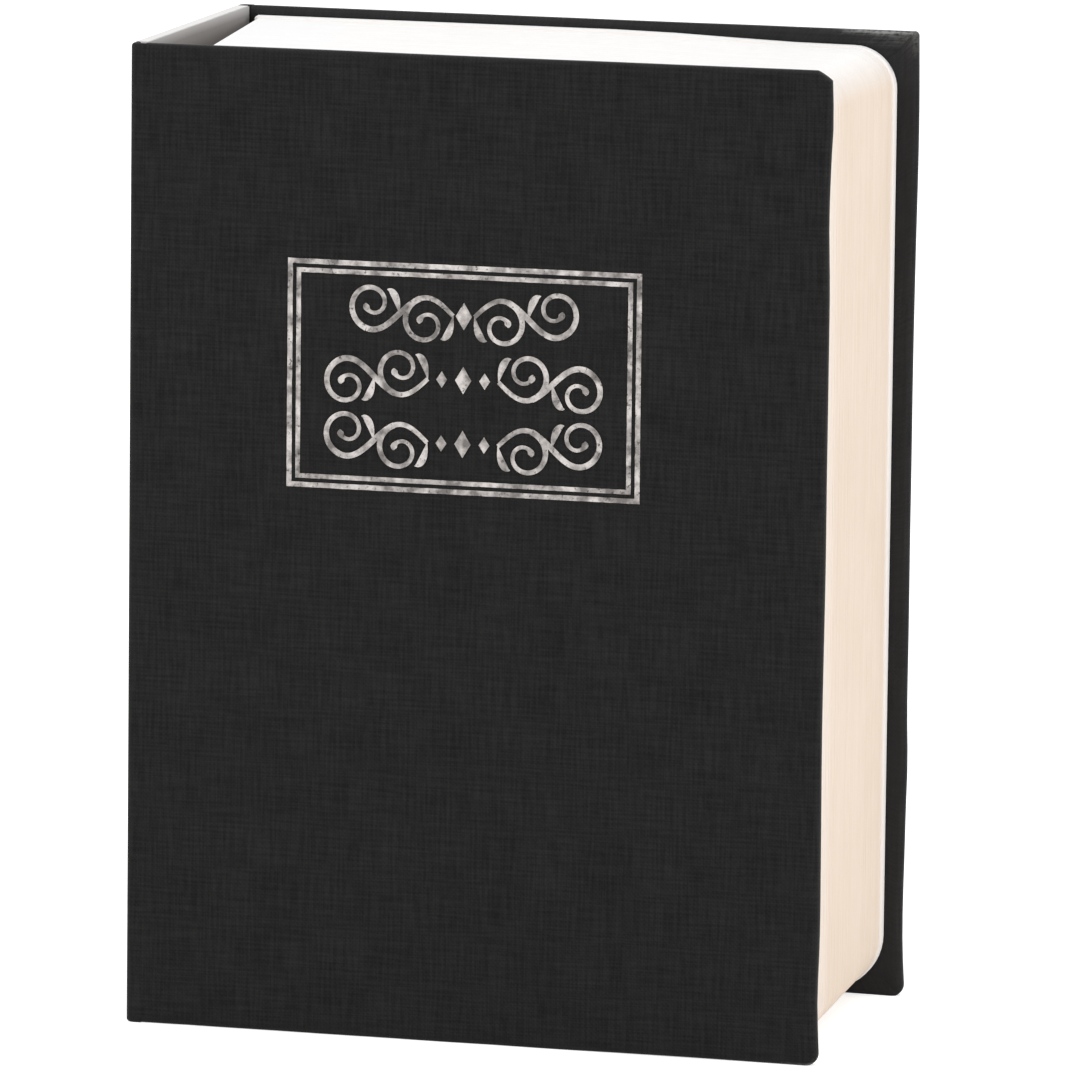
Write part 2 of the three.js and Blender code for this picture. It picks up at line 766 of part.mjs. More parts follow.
function lockStrike() {
  const wall = tray_right - sheet_thick;
  const wall_end = flange_back + inside_bend_radius;
  const outside = strike_inside_bend_radius + strike_thick;
  const centre_x = wall - outside;
  const centre_y = strike_back - outside;
  const shape = new THREE.Shape();
  shape.moveTo(wall, wall_end);
  shape.absarc(centre_x, centre_y, outside, 0, Math.PI / 2);
  shape.lineTo(wall - strike_reach, strike_back);
  shape.lineTo(wall - strike_reach, strike_back - strike_thick);
  shape.absarc(centre_x, centre_y, strike_inside_bend_radius, Math.PI / 2, 0, true);
  shape.lineTo(wall - strike_thick, wall_end);
  return column(shape, lock_z - strike_height / 2, lock_z + strike_height / 2, corner_steps);
}

add('lock_strike', 'plated', lockStrike());

export default group;
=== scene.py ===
# %% [markdown]
# # A book that hides a steel cash box
# The real object looks like a cloth-bound book with cream page edges. Its pages are a moulded shell, and
# inside it is a steel tray with a hinged lid and a key lock. The construction comes in as a fixed frame of
# plain solids, and this lesson dresses each solid: cloth turned over the boards, stamped foil, page edges,
# powder-coated steel and plated brass. Every length is written in millimetres and turned to metres once.

import json
import math

import bmesh
import bpy
from mathutils import Matrix, Vector, noise


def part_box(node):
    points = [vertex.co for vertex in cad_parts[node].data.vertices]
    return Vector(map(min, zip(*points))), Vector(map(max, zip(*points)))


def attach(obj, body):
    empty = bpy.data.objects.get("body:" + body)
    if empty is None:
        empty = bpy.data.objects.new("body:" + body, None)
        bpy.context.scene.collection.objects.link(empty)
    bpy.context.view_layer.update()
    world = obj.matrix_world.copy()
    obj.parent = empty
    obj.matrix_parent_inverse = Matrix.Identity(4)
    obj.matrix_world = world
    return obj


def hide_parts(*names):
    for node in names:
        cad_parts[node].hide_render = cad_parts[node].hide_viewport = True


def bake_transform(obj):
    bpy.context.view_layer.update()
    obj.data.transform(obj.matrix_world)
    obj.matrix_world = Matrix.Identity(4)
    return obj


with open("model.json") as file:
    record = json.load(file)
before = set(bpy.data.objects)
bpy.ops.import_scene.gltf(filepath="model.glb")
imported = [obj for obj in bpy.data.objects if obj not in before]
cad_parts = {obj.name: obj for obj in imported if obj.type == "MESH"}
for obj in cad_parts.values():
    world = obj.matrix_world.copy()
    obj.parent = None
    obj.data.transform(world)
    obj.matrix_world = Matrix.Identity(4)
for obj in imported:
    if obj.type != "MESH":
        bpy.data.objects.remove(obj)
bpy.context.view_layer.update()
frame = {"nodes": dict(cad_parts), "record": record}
MM = 0.001

# %% [markdown]
# Every piece takes its size and place from the solid that it dresses. `limits` reads a solid's box in
# millimetres, so that no size is typed twice.

# %% Sizes read from the frame


def limits(node):
    """The lowest and highest corner of a solid, in millimetres."""
    low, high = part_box(node)
    return low / MM, high / MM


cover_low, cover_high = limits("front_cloth")
spine_low, spine_high = limits("spine_cloth")
book_back = limits("back_cloth")[1].y
hinge_edge, fore_edge = cover_low.x, cover_high.x
book_front, book_height = cover_low.y, cover_high.z
cover_depth = cover_high.y - cover_low.y
spine_left, spine_half = spine_low.x, spine_high.y
print("book", round(fore_edge - spine_left, 2), round(book_back - book_front, 2), round(book_height, 2))

# %% [markdown]
# ## Camera
# The photograph was taken with a long lens from a little above and a little to the right. The values below
# came from fitting the visible edges of the two covers. A camera looks along its own -Z, so its
# matrix is made of three unit vectors: right, up and back. The small roll turns the picture clockwise, and
# the lens shift moves the view by a few pixels, as the photograph's crop does.

# %% Camera
picture_width, picture_height = 1066, 1067
azimuth, elevation, roll = math.radians(14.992), math.radians(8.940), math.radians(0.622)
camera_distance = 2008.17
focal_pixels = 10965.96
centre_across, centre_down = 522.68, 525.68
sensor_width = 36.0


def add_object(name, data):
    """A new object at the origin, in the scene."""
    thing = bpy.data.objects.new(name, data)
    bpy.context.scene.collection.objects.link(thing)
    return thing


back = Vector((
    math.sin(azimuth) * math.cos(elevation), -math.cos(azimuth) * math.cos(elevation), math.sin(elevation),
))
level_right = Vector((math.cos(azimuth), math.sin(azimuth), 0))
level_up = back.cross(level_right)
right = level_right * math.cos(roll) + level_up * math.sin(roll)
up = level_up * math.cos(roll) - level_right * math.sin(roll)
look_at = Vector((0, 0, book_height / 2))

camera_data = bpy.data.cameras.new("camera")
camera_data.sensor_width = sensor_width
camera_data.lens = focal_pixels * sensor_width / picture_height
camera_data.shift_x = (picture_width / 2 - centre_across) / picture_height
camera_data.shift_y = (centre_down - picture_height / 2) / picture_height
camera_data.clip_end = 100
camera = add_object("camera", camera_data)
turn = Matrix((right, up, back)).transposed().to_4x4()
camera.matrix_world = Matrix.Translation((look_at + back * camera_distance) * MM) @ turn
bpy.context.scene.camera = camera
shift = round(camera_data.shift_x, 4), round(camera_data.shift_y, 4)
print("lens", round(camera_data.lens, 1), "mm, shift", *shift)

# %% [markdown]
# ## Node helpers
# A material is a tree of nodes. `add_node` makes one node and fills its inputs: another node's socket is
# linked, and a plain value is set. It serves material trees and geometry trees alike. The other helpers
# name the steps that the recipes share. Each finds its tree through the socket that it is given.

# %% Node helpers


def add_node(tree, kind, inputs=(), **settings):
    node = tree.nodes.new(kind)
    for name, value in settings.items():
        setattr(node, name, value)
    for key, value in dict(inputs).items():
        socket = node.inputs[key]
        if isinstance(value, bpy.types.NodeSocket):
            tree.links.new(value, socket)
        else:
            socket.default_value = value
    return node


def calc(operation, *values):
    """One step of arithmetic on sockets and numbers. It returns the result's socket."""
    tree = next(value.id_data for value in values if isinstance(value, bpy.types.NodeSocket))
    return add_node(tree, "ShaderNodeMath", enumerate(values), operation=operation).outputs[0]


def spread(value, low, high, new_low=0.0, new_high=1.0):
    """Maps low..high to new_low..new_high, and holds the ends."""
    inputs = {"Value": value, "From Min": low, "From Max": high, "To Min": new_low, "To Max": new_high}
    return add_node(value.id_data, "ShaderNodeMapRange", inputs, clamp=True).outputs[0]


def mix_color(factor, first, second):
    """Mixes two colours. Each is a socket, or red, green and blue."""
    inputs = {0: factor}
    for key, color in ((6, first), (7, second)):
        inputs[key] = color if isinstance(color, bpy.types.NodeSocket) else (*color, 1)
    return add_node(factor.id_data, "ShaderNodeMix", inputs, data_type="RGBA").outputs[2]


def axis_of(place, axis):
    return add_node(place.id_data, "ShaderNodeSeparateXYZ", {0: place}).outputs[axis]


def scaled(place, across, deep, high):
    """Places stretched by a factor along each axis."""
    inputs = {0: place, 1: (across, deep, high)}
    return add_node(place.id_data, "ShaderNodeVectorMath", inputs, operation="MULTIPLY").outputs[0]


def speckle(place, scale, detail, roughness):
    """Soft noise from 0 to 1. scale is the number of features in a unit of place, or one for each axis."""
    if scale != 1:
        scales = scale if isinstance(scale, tuple) else (scale, scale, scale)
        place = scaled(place, *scales)
    inputs = {"Vector": place, "Scale": 1.0, "Detail": detail, "Roughness": roughness}
    return add_node(place.id_data, "ShaderNodeTexNoise", inputs).outputs["Fac"]


def layered(*layers):
    """A sum of patterns: each with the low and high that its contrast is stretched from, and its weight."""
    total = None
    for pattern, low, high, weight in layers:
        shown = spread(pattern, low, high)
        total = calc("MULTIPLY", shown, weight) if total is None else calc("MULTIPLY_ADD", shown, weight, total)
    return total


def new_material(name, **constants):
    """A material and its shader, whose plain sockets are set by name."""
    material = bpy.data.materials.new(name)
    material.use_nodes = True
    shader = material.node_tree.nodes["Principled BSDF"]
    for key, value in constants.items():
        shader.inputs[key.replace("_", " ")].default_value = value
    return material, shader


def place_in_mm(shader):
    """Object coordinates in millimetres, so that patterns are written in real sizes."""
    coordinates = add_node(shader.id_data, "ShaderNodeTexCoord")
    return scaled(coordinates.outputs["Object"], 1 / MM, 1 / MM, 1 / MM)


def painted(shader, name):
    """A value that the mesh carries at each point."""
    return add_node(shader.id_data, "ShaderNodeAttribute", attribute_name=name).outputs["Fac"]


def finish(shader, color, rough, height, depth, **others):
    """Links the shader's colour, roughness and bump. A height of 0 to 1 stands for a depth in millimetres."""
    tree = shader.id_data
    bump = add_node(tree, "ShaderNodeBump", {"Height": height, "Distance": depth * MM, "Strength": 1.0})
    sockets = {"Base Color": color, "Roughness": rough, "Normal": bump.outputs["Normal"], **others}
    for key, socket in sockets.items():
        tree.links.new(socket, shader.inputs[key])


print("node helpers are ready")

# %% [markdown]
# ## Light and backdrop
# The photograph is a shop picture on pure white. Large soft lamps stand left, right and above. The floor is
# white card that still takes the book's shadow: it gives off a little light that only the camera and
# mirror-like surfaces see, which lifts it to white without putting more light on the book. The world behind
# it is white in the same way.

# %% World, floor and lamps
world_level = 0.44
floor_glow = 0.60
floor_half = 6.0
white = (1, 1, 1, 1)


def backdrop_rays(tree):
    """1 for rays from the camera, through glass and off glossy surfaces, and 0 for light on the book."""
    path = add_node(tree, "ShaderNodeLightPath").outputs
    seen = calc("MAXIMUM", path["Is Camera Ray"], path["Is Transmission Ray"])
    return calc("MAXIMUM", seen, path["Is Glossy Ray"])


world = bpy.data.worlds.new("studio")
world.use_nodes = True
bpy.context.scene.world = world
world_background = world.node_tree.nodes["Background"]
world_background.inputs["Color"].default_value = white
level = calc("MAXIMUM", backdrop_rays(world.node_tree), world_level)
world.node_tree.links.new(level, world_background.inputs["Strength"])

floor_mesh = bpy.data.meshes.new("floor")
corners = [(x * floor_half, y * floor_half, 0) for x, y in ((-1, -1), (1, -1), (1, 1), (-1, 1))]
floor_mesh.from_pydata(corners, [], [(0, 1, 2, 3)])
floor = add_object("floor", floor_mesh)
card_white = (0.88, 0.88, 0.88, 1)
card = {"Base_Color": card_white, "Roughness": 0.9, "Specular_IOR_Level": 0.0, "Emission_Color": white}
floor_paint, floor_shader = new_material("white_card_floor", **card)
floor_tree = floor_paint.node_tree
glow = calc("MULTIPLY", backdrop_rays(floor_tree), floor_glow)
floor_tree.links.new(glow, floor_shader.inputs["Emission Strength"])
floor_mesh.materials.append(floor_paint)

# Each lamp: name, place in metres, square side in metres, power in watts.
lamps = [
    ("key", (-0.42, -0.78, 0.82), 0.7, 4.8),
    ("side", (1.48, -0.38, 0.45), 0.9, 10.5),
    ("top", (0.10, 0.10, 1.60), 1.2, 7.2),
    ("rear", (-0.60, 1.30, 0.90), 0.9, 4.0),
]
for lamp_name, lamp_place, lamp_side, lamp_power in lamps:
    lamp_data = bpy.data.lights.new(lamp_name, "AREA")
    lamp_data.size = lamp_side
    lamp_data.energy = lamp_power
    lamp = add_object(lamp_name, lamp_data)
    aim = look_at * MM - Vector(lamp_place)
    lamp.matrix_world = Matrix.Translation(lamp_place) @ aim.to_track_quat("-Z", "Y").to_matrix().to_4x4()
bpy.context.scene.view_settings.view_transform = "Standard"
print("lamps:", ", ".join(name for name, *_ in lamps))

# %% [markdown]
# ## Book cloth
# Book cloth is a plain weave of thin threads, dyed nearly black and filled with starch. From a step away
# only uneven threads show, as faint streaks up and across and as soft clouds. The pattern reads the piece's
# own UV map, which holds millimetres along the cloth, so it runs round the edges without a break. The mesh
# also marks where the cloth is turned in, painted a little greyer as painted light, and where it is rubbed
# pale.

# %% Book cloth
thread_pitch = 0.42
cloth_map = "cloth"


def book_cloth():
    material, shader = new_material("book_cloth", Specular_IOR_Level=0.16, Sheen_Weight=0.04)
    along = add_node(shader.id_data, "ShaderNodeUVMap", uv_map=cloth_map).outputs[0]
    warp = speckle(along, (2.1, 0.10, 1), 3.0, 0.6)
    weft = speckle(along, (0.10, 2.1, 1), 3.0, 0.6)
    cloud = speckle(along, (0.10, 0.10, 1), 3.0, 0.6)
    grain = speckle(along, (1.1, 1.1, 1), 2.0, 0.6)
    crossings = []
    for axis, drift in (("X", warp), ("Y", weft)):
        bend = calc("MULTIPLY", drift, 1.5)
        crossings.append(calc("SINE", calc("MULTIPLY_ADD", axis_of(along, axis), math.pi / thread_pitch, bend)))
    weave = calc("MULTIPLY", *crossings)
    threads = (warp, 0.37, 0.63, 0.32), (weft, 0.37, 0.63, 0.28)
    tone = layered(*threads, (cloud, 0.34, 0.66, 0.12), (grain, 0.36, 0.64, 0.22))
    tone = spread(calc("MULTIPLY_ADD", weave, 0.06, tone), 0.07, 0.93)
    color = mix_color(tone, (0.0022, 0.0021, 0.0021), (0.0216, 0.0205, 0.0202))
    # Where the cloth is turned in, its colour is lifted a little greyer: painted light on the inner band.
    color = mix_color(calc("MULTIPLY", painted(shader, "turned"), 0.36), color, (0.034, 0.033, 0.0335))
    patchy = spread(calc("ADD", grain, weft), 0.75, 1.15)
    color = mix_color(calc("MULTIPLY", painted(shader, "rubbed"), patchy), color, (0.30, 0.297, 0.292))
    height = calc("MULTIPLY_ADD", calc("ADD", warp, weft), 0.9, calc("MULTIPLY", weave, 0.5))
    finish(shader, color, spread(grain, 0.2, 0.8, 0.74, 0.9), height, 0.035)
    return material


black_cloth = book_cloth()
print("cloth threads are", thread_pitch, "mm apart")

# %% [markdown]
# ## Foil, paper, card and page edges
# Hot-stamped foil is a thin metal film, worn where the weave stands up, so a noise mixes the cloth's
# darkness back in, and a slow noise paints soft highlights into the film. Paper and card get fibres; the
# spine's lining is a darker copy of the paper as painted shade, with a painted lighter head. The page edges
# are moulded plastic, cream and streaked along the leaves, and painted nearly white on the head, which faces
# the top lamp: painted light.

# %% Foil, paper, card and page edges
block_low, block_high = limits("page_shell")
front_lip, back_lip = 2.6, 2.4
lip_blend = 0.15
pale_from, pale_to = 9, 22
pale_head_depth = 1.8
most_worn = 0.8


def stamped_foil():
    material, shader = new_material("stamped_foil", Specular_IOR_Level=0.3)
    place = place_in_mm(shader)
    wear = speckle(place, 1.3, 4.0, 0.65)
    weave = speckle(place, 2.4, 1.0, 0.5)
    # A slow noise lifts and darkens the film's colour in patches: painted highlights on the foil.
    painted_glint = speckle(place, 0.38, 3.0, 0.6)
    bare = calc("ADD", spread(wear, 0.59, 0.70), spread(weave, 0.70, 0.84, 0.0, 0.35))
    worn = calc("MINIMUM", bare, most_worn)
    film = mix_color(spread(painted_glint, 0.36, 0.64), (0.175, 0.161, 0.153), (0.63, 0.587, 0.563))
    color = mix_color(worn, film, (0.035, 0.033, 0.032))
    metal = spread(worn, 0.0, most_worn, 0.4, 0.0)
    finish(shader, color, spread(worn, 0.0, most_worn, 0.45, 0.8), weave, 0.03, Metallic=metal)
    return material


def fibrous(name, dark, light, fibre_size, bump, painted_lit_head=None):
    """Paper or card: short fibres over soft clouds. The last argument, if given, is a lighter colour painted at
    the head as painted light.
    """
    material, shader = new_material(name, Specular_IOR_Level=0.1)
    place = place_in_mm(shader)
    step = 1 / fibre_size
    clouds = speckle(place, 0.09, 3.0, 0.55)
    fibres = speckle(place, (step, step, step * 0.45), 4.0, 0.7)
    tone = calc("MULTIPLY_ADD", spread(fibres, 0.25, 0.75), 0.5, calc("MULTIPLY", clouds, 0.5))
    color = mix_color(tone, dark, light)
    if painted_lit_head:
        # The top of the sheet fades to the lighter colour: painted light where the head catches the lamps.
        painted_light_near_head = spread(axis_of(place, "Z"), book_height - pale_head_depth, book_height)
        color = mix_color(painted_light_near_head, color, painted_lit_head)
    finish(shader, color, spread(fibres, 0.2, 0.8, 0.78, 0.95), fibres, bump)
    return material


def page_edges():
    material, shader = new_material("page_edges", Specular_IOR_Level=0.13)
    place = place_in_mm(shader)
    leaves = speckle(place, (0.05, 3.2, 0.035), 4.0, 0.7)
    bands = speckle(place, (0.012, 0.55, 0.012), 3.0, 0.6)
    clouds = speckle(place, 0.06, 2.0, 0.5)
    tone = layered((leaves, 0.3, 0.7, 0.5), (bands, 0.3, 0.7, 0.3), (clouds, 0.3, 0.7, 0.2))
    cream = mix_color(tone, (0.78, 0.640, 0.525), (0.86, 0.745, 0.640))
    deep = axis_of(place, "Y")
    front_edge, back_edge = block_low.y + front_lip + 0.2, block_high.y - back_lip - lip_blend
    # The leaves grow lighter toward the front, from 22 mm to 9 mm behind the front face.
    paler_front = spread(deep, block_low.y + pale_to, block_low.y + pale_from, 0, 0.7)
    pale = calc("MAXIMUM", spread(deep, front_edge, front_edge - 0.2), paler_front)
    lips = calc("ADD", pale, spread(deep, back_edge, back_edge + lip_blend))
    cream = mix_color(lips, cream, (0.95, 0.90, 0.865))
    # Faces that point up are painted whiter than the cream sides: painted light from the top lamp.
    head = mix_color(tone, (0.860, 0.855, 0.856), (0.902, 0.901, 0.908))
    facing = add_node(shader.id_data, "ShaderNodeNewGeometry").outputs["Normal"]
    color = mix_color(spread(axis_of(facing, "Z"), 0.05, 0.95), cream, head)
    finish(shader, color, spread(leaves, 0.2, 0.8, 0.5, 0.75), leaves, 0.03)
    return material


foil = stamped_foil()
lining_paper = fibrous("lining_paper", (0.70, 0.685, 0.67), (0.82, 0.81, 0.80), 0.5, 0.02)
# The spine's lining is a darker copy of the lining paper, as painted shade in the gap behind the block, and its
# top 1.8 mm is painted lighter as painted light.
liner_painted_light = (0.53, 0.517, 0.512)
spine_liner_painted_shade = fibrous("spine_liner_painted_shade", (0.255, 0.248, 0.246), (0.325, 0.317, 0.315), 0.5, 0.02, liner_painted_light)
pale_card = fibrous("pale_card", (0.74, 0.72, 0.71), (0.84, 0.83, 0.82), 0.35, 0.04)
grey_card = fibrous("grey_card", (0.20, 0.175, 0.145), (0.34, 0.31, 0.27), 0.6, 0.08)
cream_pages = page_edges()
print("materials so far:", len(bpy.data.materials))

# %% [markdown]
# ## Steel and brass
# The box is powder-coated: baked powder leaves a fine orange peel. The lock and pins are plated bright, and
# the lock's core is brass. Turned parts carry faint rings from the lathe, which a noise of the distance to
# the lock's axis gives.

# %% Steel and brass
housing_low, housing_high = limits("lock_housing")
lock_across = (housing_low.x + housing_high.x) / 2
lock_up = (housing_low.z + housing_high.z) / 2
plate_dark, plate_light = (0.44, 0.45, 0.46), (0.60, 0.60, 0.59)
rings_per_mm = 9.0


def powder_coat():
    material, shader = new_material("powder_coat", Specular_IOR_Level=0.32)
    place = place_in_mm(shader)
    peel = speckle(place, 1.6, 3.0, 0.55)
    dust = speckle(place, 0.12, 4.0, 0.6)
    color = mix_color(spread(dust, 0.3, 0.75), (0.0105, 0.0105, 0.0105), (0.01617, 0.0165, 0.01683))
    finish(shader, color, spread(dust, 0.3, 0.7, 0.42, 0.54), peel, 0.045)
    return material


def bright_metal(name, dark, light, smooth, dull, on_lathe):
    """Plate or brass. A turned part has rings round the lock's axis, and the rest has a fine straight grain."""
    material, shader = new_material(name, Metallic=1.0)
    place = place_in_mm(shader)
    if on_lathe:
        across = calc("SUBTRACT", axis_of(place, "X"), lock_across)
        high = calc("SUBTRACT", axis_of(place, "Z"), lock_up)
        radius = calc("SQRT", calc("ADD", calc("POWER", across, 2.0), calc("POWER", high, 2.0)))
        inputs = {"X": calc("MULTIPLY", radius, rings_per_mm), "Y": axis_of(place, "Y")}
        grain = speckle(add_node(shader.id_data, "ShaderNodeCombineXYZ", inputs).outputs[0], 1, 2.0, 0.6)
    else:
        grain = speckle(place, (5.0, 5.0, 0.25), 3.0, 0.6)
    smudge = speckle(place, 0.25, 3.0, 0.6)
    color = mix_color(spread(smudge, 0.3, 0.7), dark, light)
    rough = calc("MULTIPLY_ADD", spread(grain, 0.3, 0.7), 0.08, spread(smudge, 0.3, 0.7, smooth, dull))
    finish(shader, color, rough, grain, 0.004)
    return material


black_steel = powder_coat()
turned_plate = bright_metal("turned_plate", plate_dark, plate_light, 0.16, 0.26, True)
drawn_plate = bright_metal("drawn_plate", plate_dark, plate_light, 0.22, 0.34, False)
turned_brass = bright_metal("turned_brass", (0.58, 0.42, 0.17), (0.74, 0.57, 0.27), 0.2, 0.32, True)
print("materials:", len(bpy.data.materials))

# %% [markdown]
# ## Making meshes
# Most pieces here are skins through rings of points, like ribs in a boat's hull. `skin` joins each ring to
# the next with quads, and can close the ends. `new_piece` turns points in millimetres into an object with
# smooth faces and sharp edges where faces meet steeply, and `skinned` does both. `rounded_ring` gives the
# ring that most pieces need: a rectangle in X and Z with a radius at each corner.

# %% Mesh helpers
sharp_angle = math.radians(35)


def new_piece(name, points, faces, material, cloth_places=None, marks=()):
    """An object from points in millimetres. cloth_places is its UV map, and marks are values at its points."""
    mesh = bpy.data.meshes.new(name)
    mesh.from_pydata([tuple(c * MM for c in point) for point in points], [], faces)
    if cloth_places:
        layer = mesh.uv_layers.new(name=cloth_map)
        for loop in mesh.loops:
            layer.data[loop.index].uv = cloth_places[loop.vertex_index]
    for key, values in dict(marks).items():
        mesh.attributes.new(key, "FLOAT", "POINT").data.foreach_set("value", values)
    work = bmesh.new()
    work.from_mesh(mesh)
    bmesh.ops.remove_doubles(work, verts=work.verts, dist=0.00001 * MM)
    bmesh.ops.recalc_face_normals(work, faces=work.faces)
    work.to_mesh(mesh)
    work.free()
    mesh.shade_smooth()
    mesh.set_sharp_from_angle(angle=sharp_angle)
    mesh.materials.append(material)
    return add_object(name, mesh)


def skin(rings, caps=False, ring_closed=True, loop_rings=False):
    """Quads through rings that all have the same number of points. caps closes the first and last ring."""
    count = len(rings[0])
    points = [point for ring in rings for point in ring]
    faces = []
    for k in range(len(rings) if loop_rings else len(rings) - 1):
        here, there = k * count, ((k + 1) % len(rings)) * count
        for i in range(count if ring_closed else count - 1):
            j = (i + 1) % count
            faces.append((here + i, here + j, there + j, there + i))
    if caps:
        faces += [tuple(reversed(range(count))), tuple(range(len(points) - count, len(points)))]
    return points, faces


def skinned(name, rings, material, cloth_places=None, **ends):
    """A piece whose surface is a skin through rings."""
    return new_piece(name, *skin(rings, **ends), material, cloth_places)


def at_depth(outline, y):
    """A ring for `skin` from an outline's points (x, z)."""
    return [(x, y, z) for x, z in outline]


def rounded_ring(left, right, low, high, radii, corner_steps=8, side_steps=6):
    """Points (x, z) round a rectangle. radii: low left, low right, high right and high left."""
    low_left, low_right, high_right, high_left = radii
    turns = [
        (left + low_left, low + low_left, low_left, math.pi),
        (right - low_right, low + low_right, low_right, 1.5 * math.pi),
        (right - high_right, high - high_right, high_right, 0.0),
        (left + high_left, high - high_left, high_left, 0.5 * math.pi),
    ]
    points = []
    for k, (x, z, radius, start) in enumerate(turns):
        for step in range(corner_steps + 1):
            angle = start + 0.5 * math.pi * step / corner_steps
            points.append((x + radius * math.cos(angle), z + radius * math.sin(angle)))
        next_x, next_z, next_radius, next_start = turns[(k + 1) % 4]
        end = Vector((next_x + next_radius * math.cos(next_start), next_z + next_radius * math.sin(next_start)))
        begin = Vector(points[-1])
        points += [tuple(begin.lerp(end, step / side_steps)) for step in range(1, side_steps)]
    return points


def arc(radius, start, end, steps):
    """Points (a, b) on a quarter or other part of a circle about the origin, angles in degrees."""
    angles = [math.radians(start + (end - start) * k / steps) for k in range(steps + 1)]
    return [(radius * math.cos(angle), radius * math.sin(angle)) for angle in angles]


def ease(value, low, high):
    """0 below low, 1 above high and smooth between."""
    share = min(1.0, max(0.0, (value - low) / (high - low)))
    return share * share * (3 - 2 * share)


def bell(distance, half):
    """1 at no distance, and falling away smoothly on both sides."""
    return math.exp(-((distance / half) ** 2))


def place_on(piece, body, slot_name, *nodes):
    """Puts a finished piece on its body and lets it stand for its solids."""
    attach(piece, body)
    if nodes:
        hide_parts(*nodes)
    return piece


print("mesh helpers are ready")

# %% [markdown]
# ## Cloth on the covers
# The cloth lies flat on the board, turns over its edges and is glued down inside in a border about 14 mm
# wide. A square corner is folded over twice, which makes it round and a little proud. The mesh is one
# closed skin: rings run from the middle of the outer face over the edge to the raw edge of the turn-in, and
# back along the underside. Each corner has its own look, because the photograph shows one worn flat, one
# still sharp and two swollen ones.

# %% Cloth on the covers
cloth_thick = 0.4
edge_radius = 1.15
turn_in_width = 14.0
side_points = 26
fore_points = 40
corner_points = 10
seam_ease = 12.0
middle_end = 60.0
mitre_groove = 0.04
wave_size = 0.07
least_radius = 0.25
swell_reach = 5.5
swell_fade = 9.0

# Across and up radii of each corner, how far the folded cloth swells past the outline, and how much of
# the round is knocked flat.
corner_looks = {
    ("front", "tail"): (2.3, 2.2, 0.16, 0.0),
    ("front", "head"): (2.7, 1.8, 0.0, 0.8),
    ("back", "tail"): (2.2, 2.2, 0.30, 0.0),
    ("back", "head"): (0.8, 0.8, 0.0, 0.0),
}
# Dents and swells along each fore-edge: height, half length, and how far out.
worn_edges = {
    "front": [(171, 5, 0.30), (153, 9, -0.30), (60, 24, -0.18), (12, 8, -0.34)],
    "back": [(158, 24, 0.42), (44, 7, 0.24), (14, 12, -0.26)],
}
# Spots where the turned edge is rubbed pale: (x, z) and half sizes.
rubbed_spots = {
    "front": [(fore_edge - 1, 0, 4.0, 0.5)],
    "back": [(fore_edge - 3, book_height, 3.4, 1.0), (fore_edge - 9, book_height, 4, 0.6)],
}


def knocked(a, b, turn, cut):
    """Moves a point of a round corner toward the straight line between the corner's ends."""
    return a + (1 - turn - a) * cut, b + (turn - b) * cut


def corner_path(cover, end, edge, inset):
    """A corner's outline, the height where it meets the fore-edge, and how far it reaches across."""
    across, rise, _, cut = corner_looks[cover, end]
    across, rise = max(across - inset, least_radius), max(rise - inset, least_radius)
    way, level = (1, book_height - inset - rise) if end == "head" else (-1, inset + rise)
    path = []
    for cos, sin in arc(1, min(0, 90 * way), max(0, 90 * way), corner_points):
        turn = way * math.degrees(math.atan2(sin, cos)) / 90
        a, b = knocked(cos, way * sin, turn, cut)
        path.append((edge - across + across * a, level + way * rise * b, cos, sin, 1 - abs(2 * turn - 1)))
    return path, level, across


def cover_path(cover, inset):
    """Points of the cover's outline set in by a distance: (x, z, outward x, outward z, corner share)."""
    edge = fore_edge - inset
    tail, low, tail_across = corner_path(cover, "tail", edge, inset)
    head, high, head_across = corner_path(cover, "head", edge, inset)
    along_tail = [(edge - tail_across - hinge_edge) * k / side_points for k in range(side_points)]
    along_head = [(edge - head_across - hinge_edge) * (1 - k / side_points) for k in range(1, side_points + 1)]
    path = [(hinge_edge + along, inset, 0, -1, 0) for along in along_tail] + tail
    path += [(edge, low + (high - low) * k / fore_points, 1, 0, 0) for k in range(1, fore_points)] + head
    return path + [(hinge_edge + along, book_height - inset, 0, 1, 0) for along in along_head]


def run_along(line):
    """How far along a line each of its places is."""
    runs = [0.0]
    for here, there in zip(line, line[1:]):
        runs.append(runs[-1] + math.dist(here[:2], there[:2]))
    return runs


def edge_profile(depth, radius):
    """The cloth's outer line to the raw edge and its inner line back: (inset, depth, run)."""
    outer = [(radius - b, radius - a) for a, b in arc(radius, 0, 90, 7)]
    outer += [(radius - a, depth - radius + b) for a, b in arc(radius, 0, 90, 7)]
    borders = [3.2, 6.0, 9.0, 12.0, turn_in_width]
    outer += [(inset, depth) for inset in borders]
    inner_radius = max(radius - cloth_thick, 0.1)
    inner = [(inset, depth - cloth_thick) for inset in reversed(borders)]
    inner += [(radius - a, depth - radius + b) for a, b in arc(inner_radius, 90, 0, 4)]
    inner += [(radius - b, radius - a) for a, b in arc(inner_radius, 90, 0, 4)]
    runs = run_along(outer)
    runs += [max(0.0, runs[-1] - math.dist(point, outer[-1])) for point in inner]
    return [(*point, run) for point, run in zip(outer + inner, runs)]


def ripple(x, z, seed):
    """A slow swell of the glued cloth, in millimetres, that dies out at the hinge side."""
    calm = ease(x, hinge_edge, hinge_edge + seam_ease)
    return wave_size * calm * noise.noise((x * 0.035, z * 0.03, seed))


print("a cover's outline has", len(cover_path("front", edge_radius)), "points")

# %% [markdown]
# The skin is made of rings of that outline. Those of the flat face shrink toward a line at mid height, and
# the others follow the edge's profile. Each point also gets its place on the unrolled cloth, and two marks
# that tell the material where the cloth is turned in and where it is rubbed bare.

# %% Skin of a cover's cloth


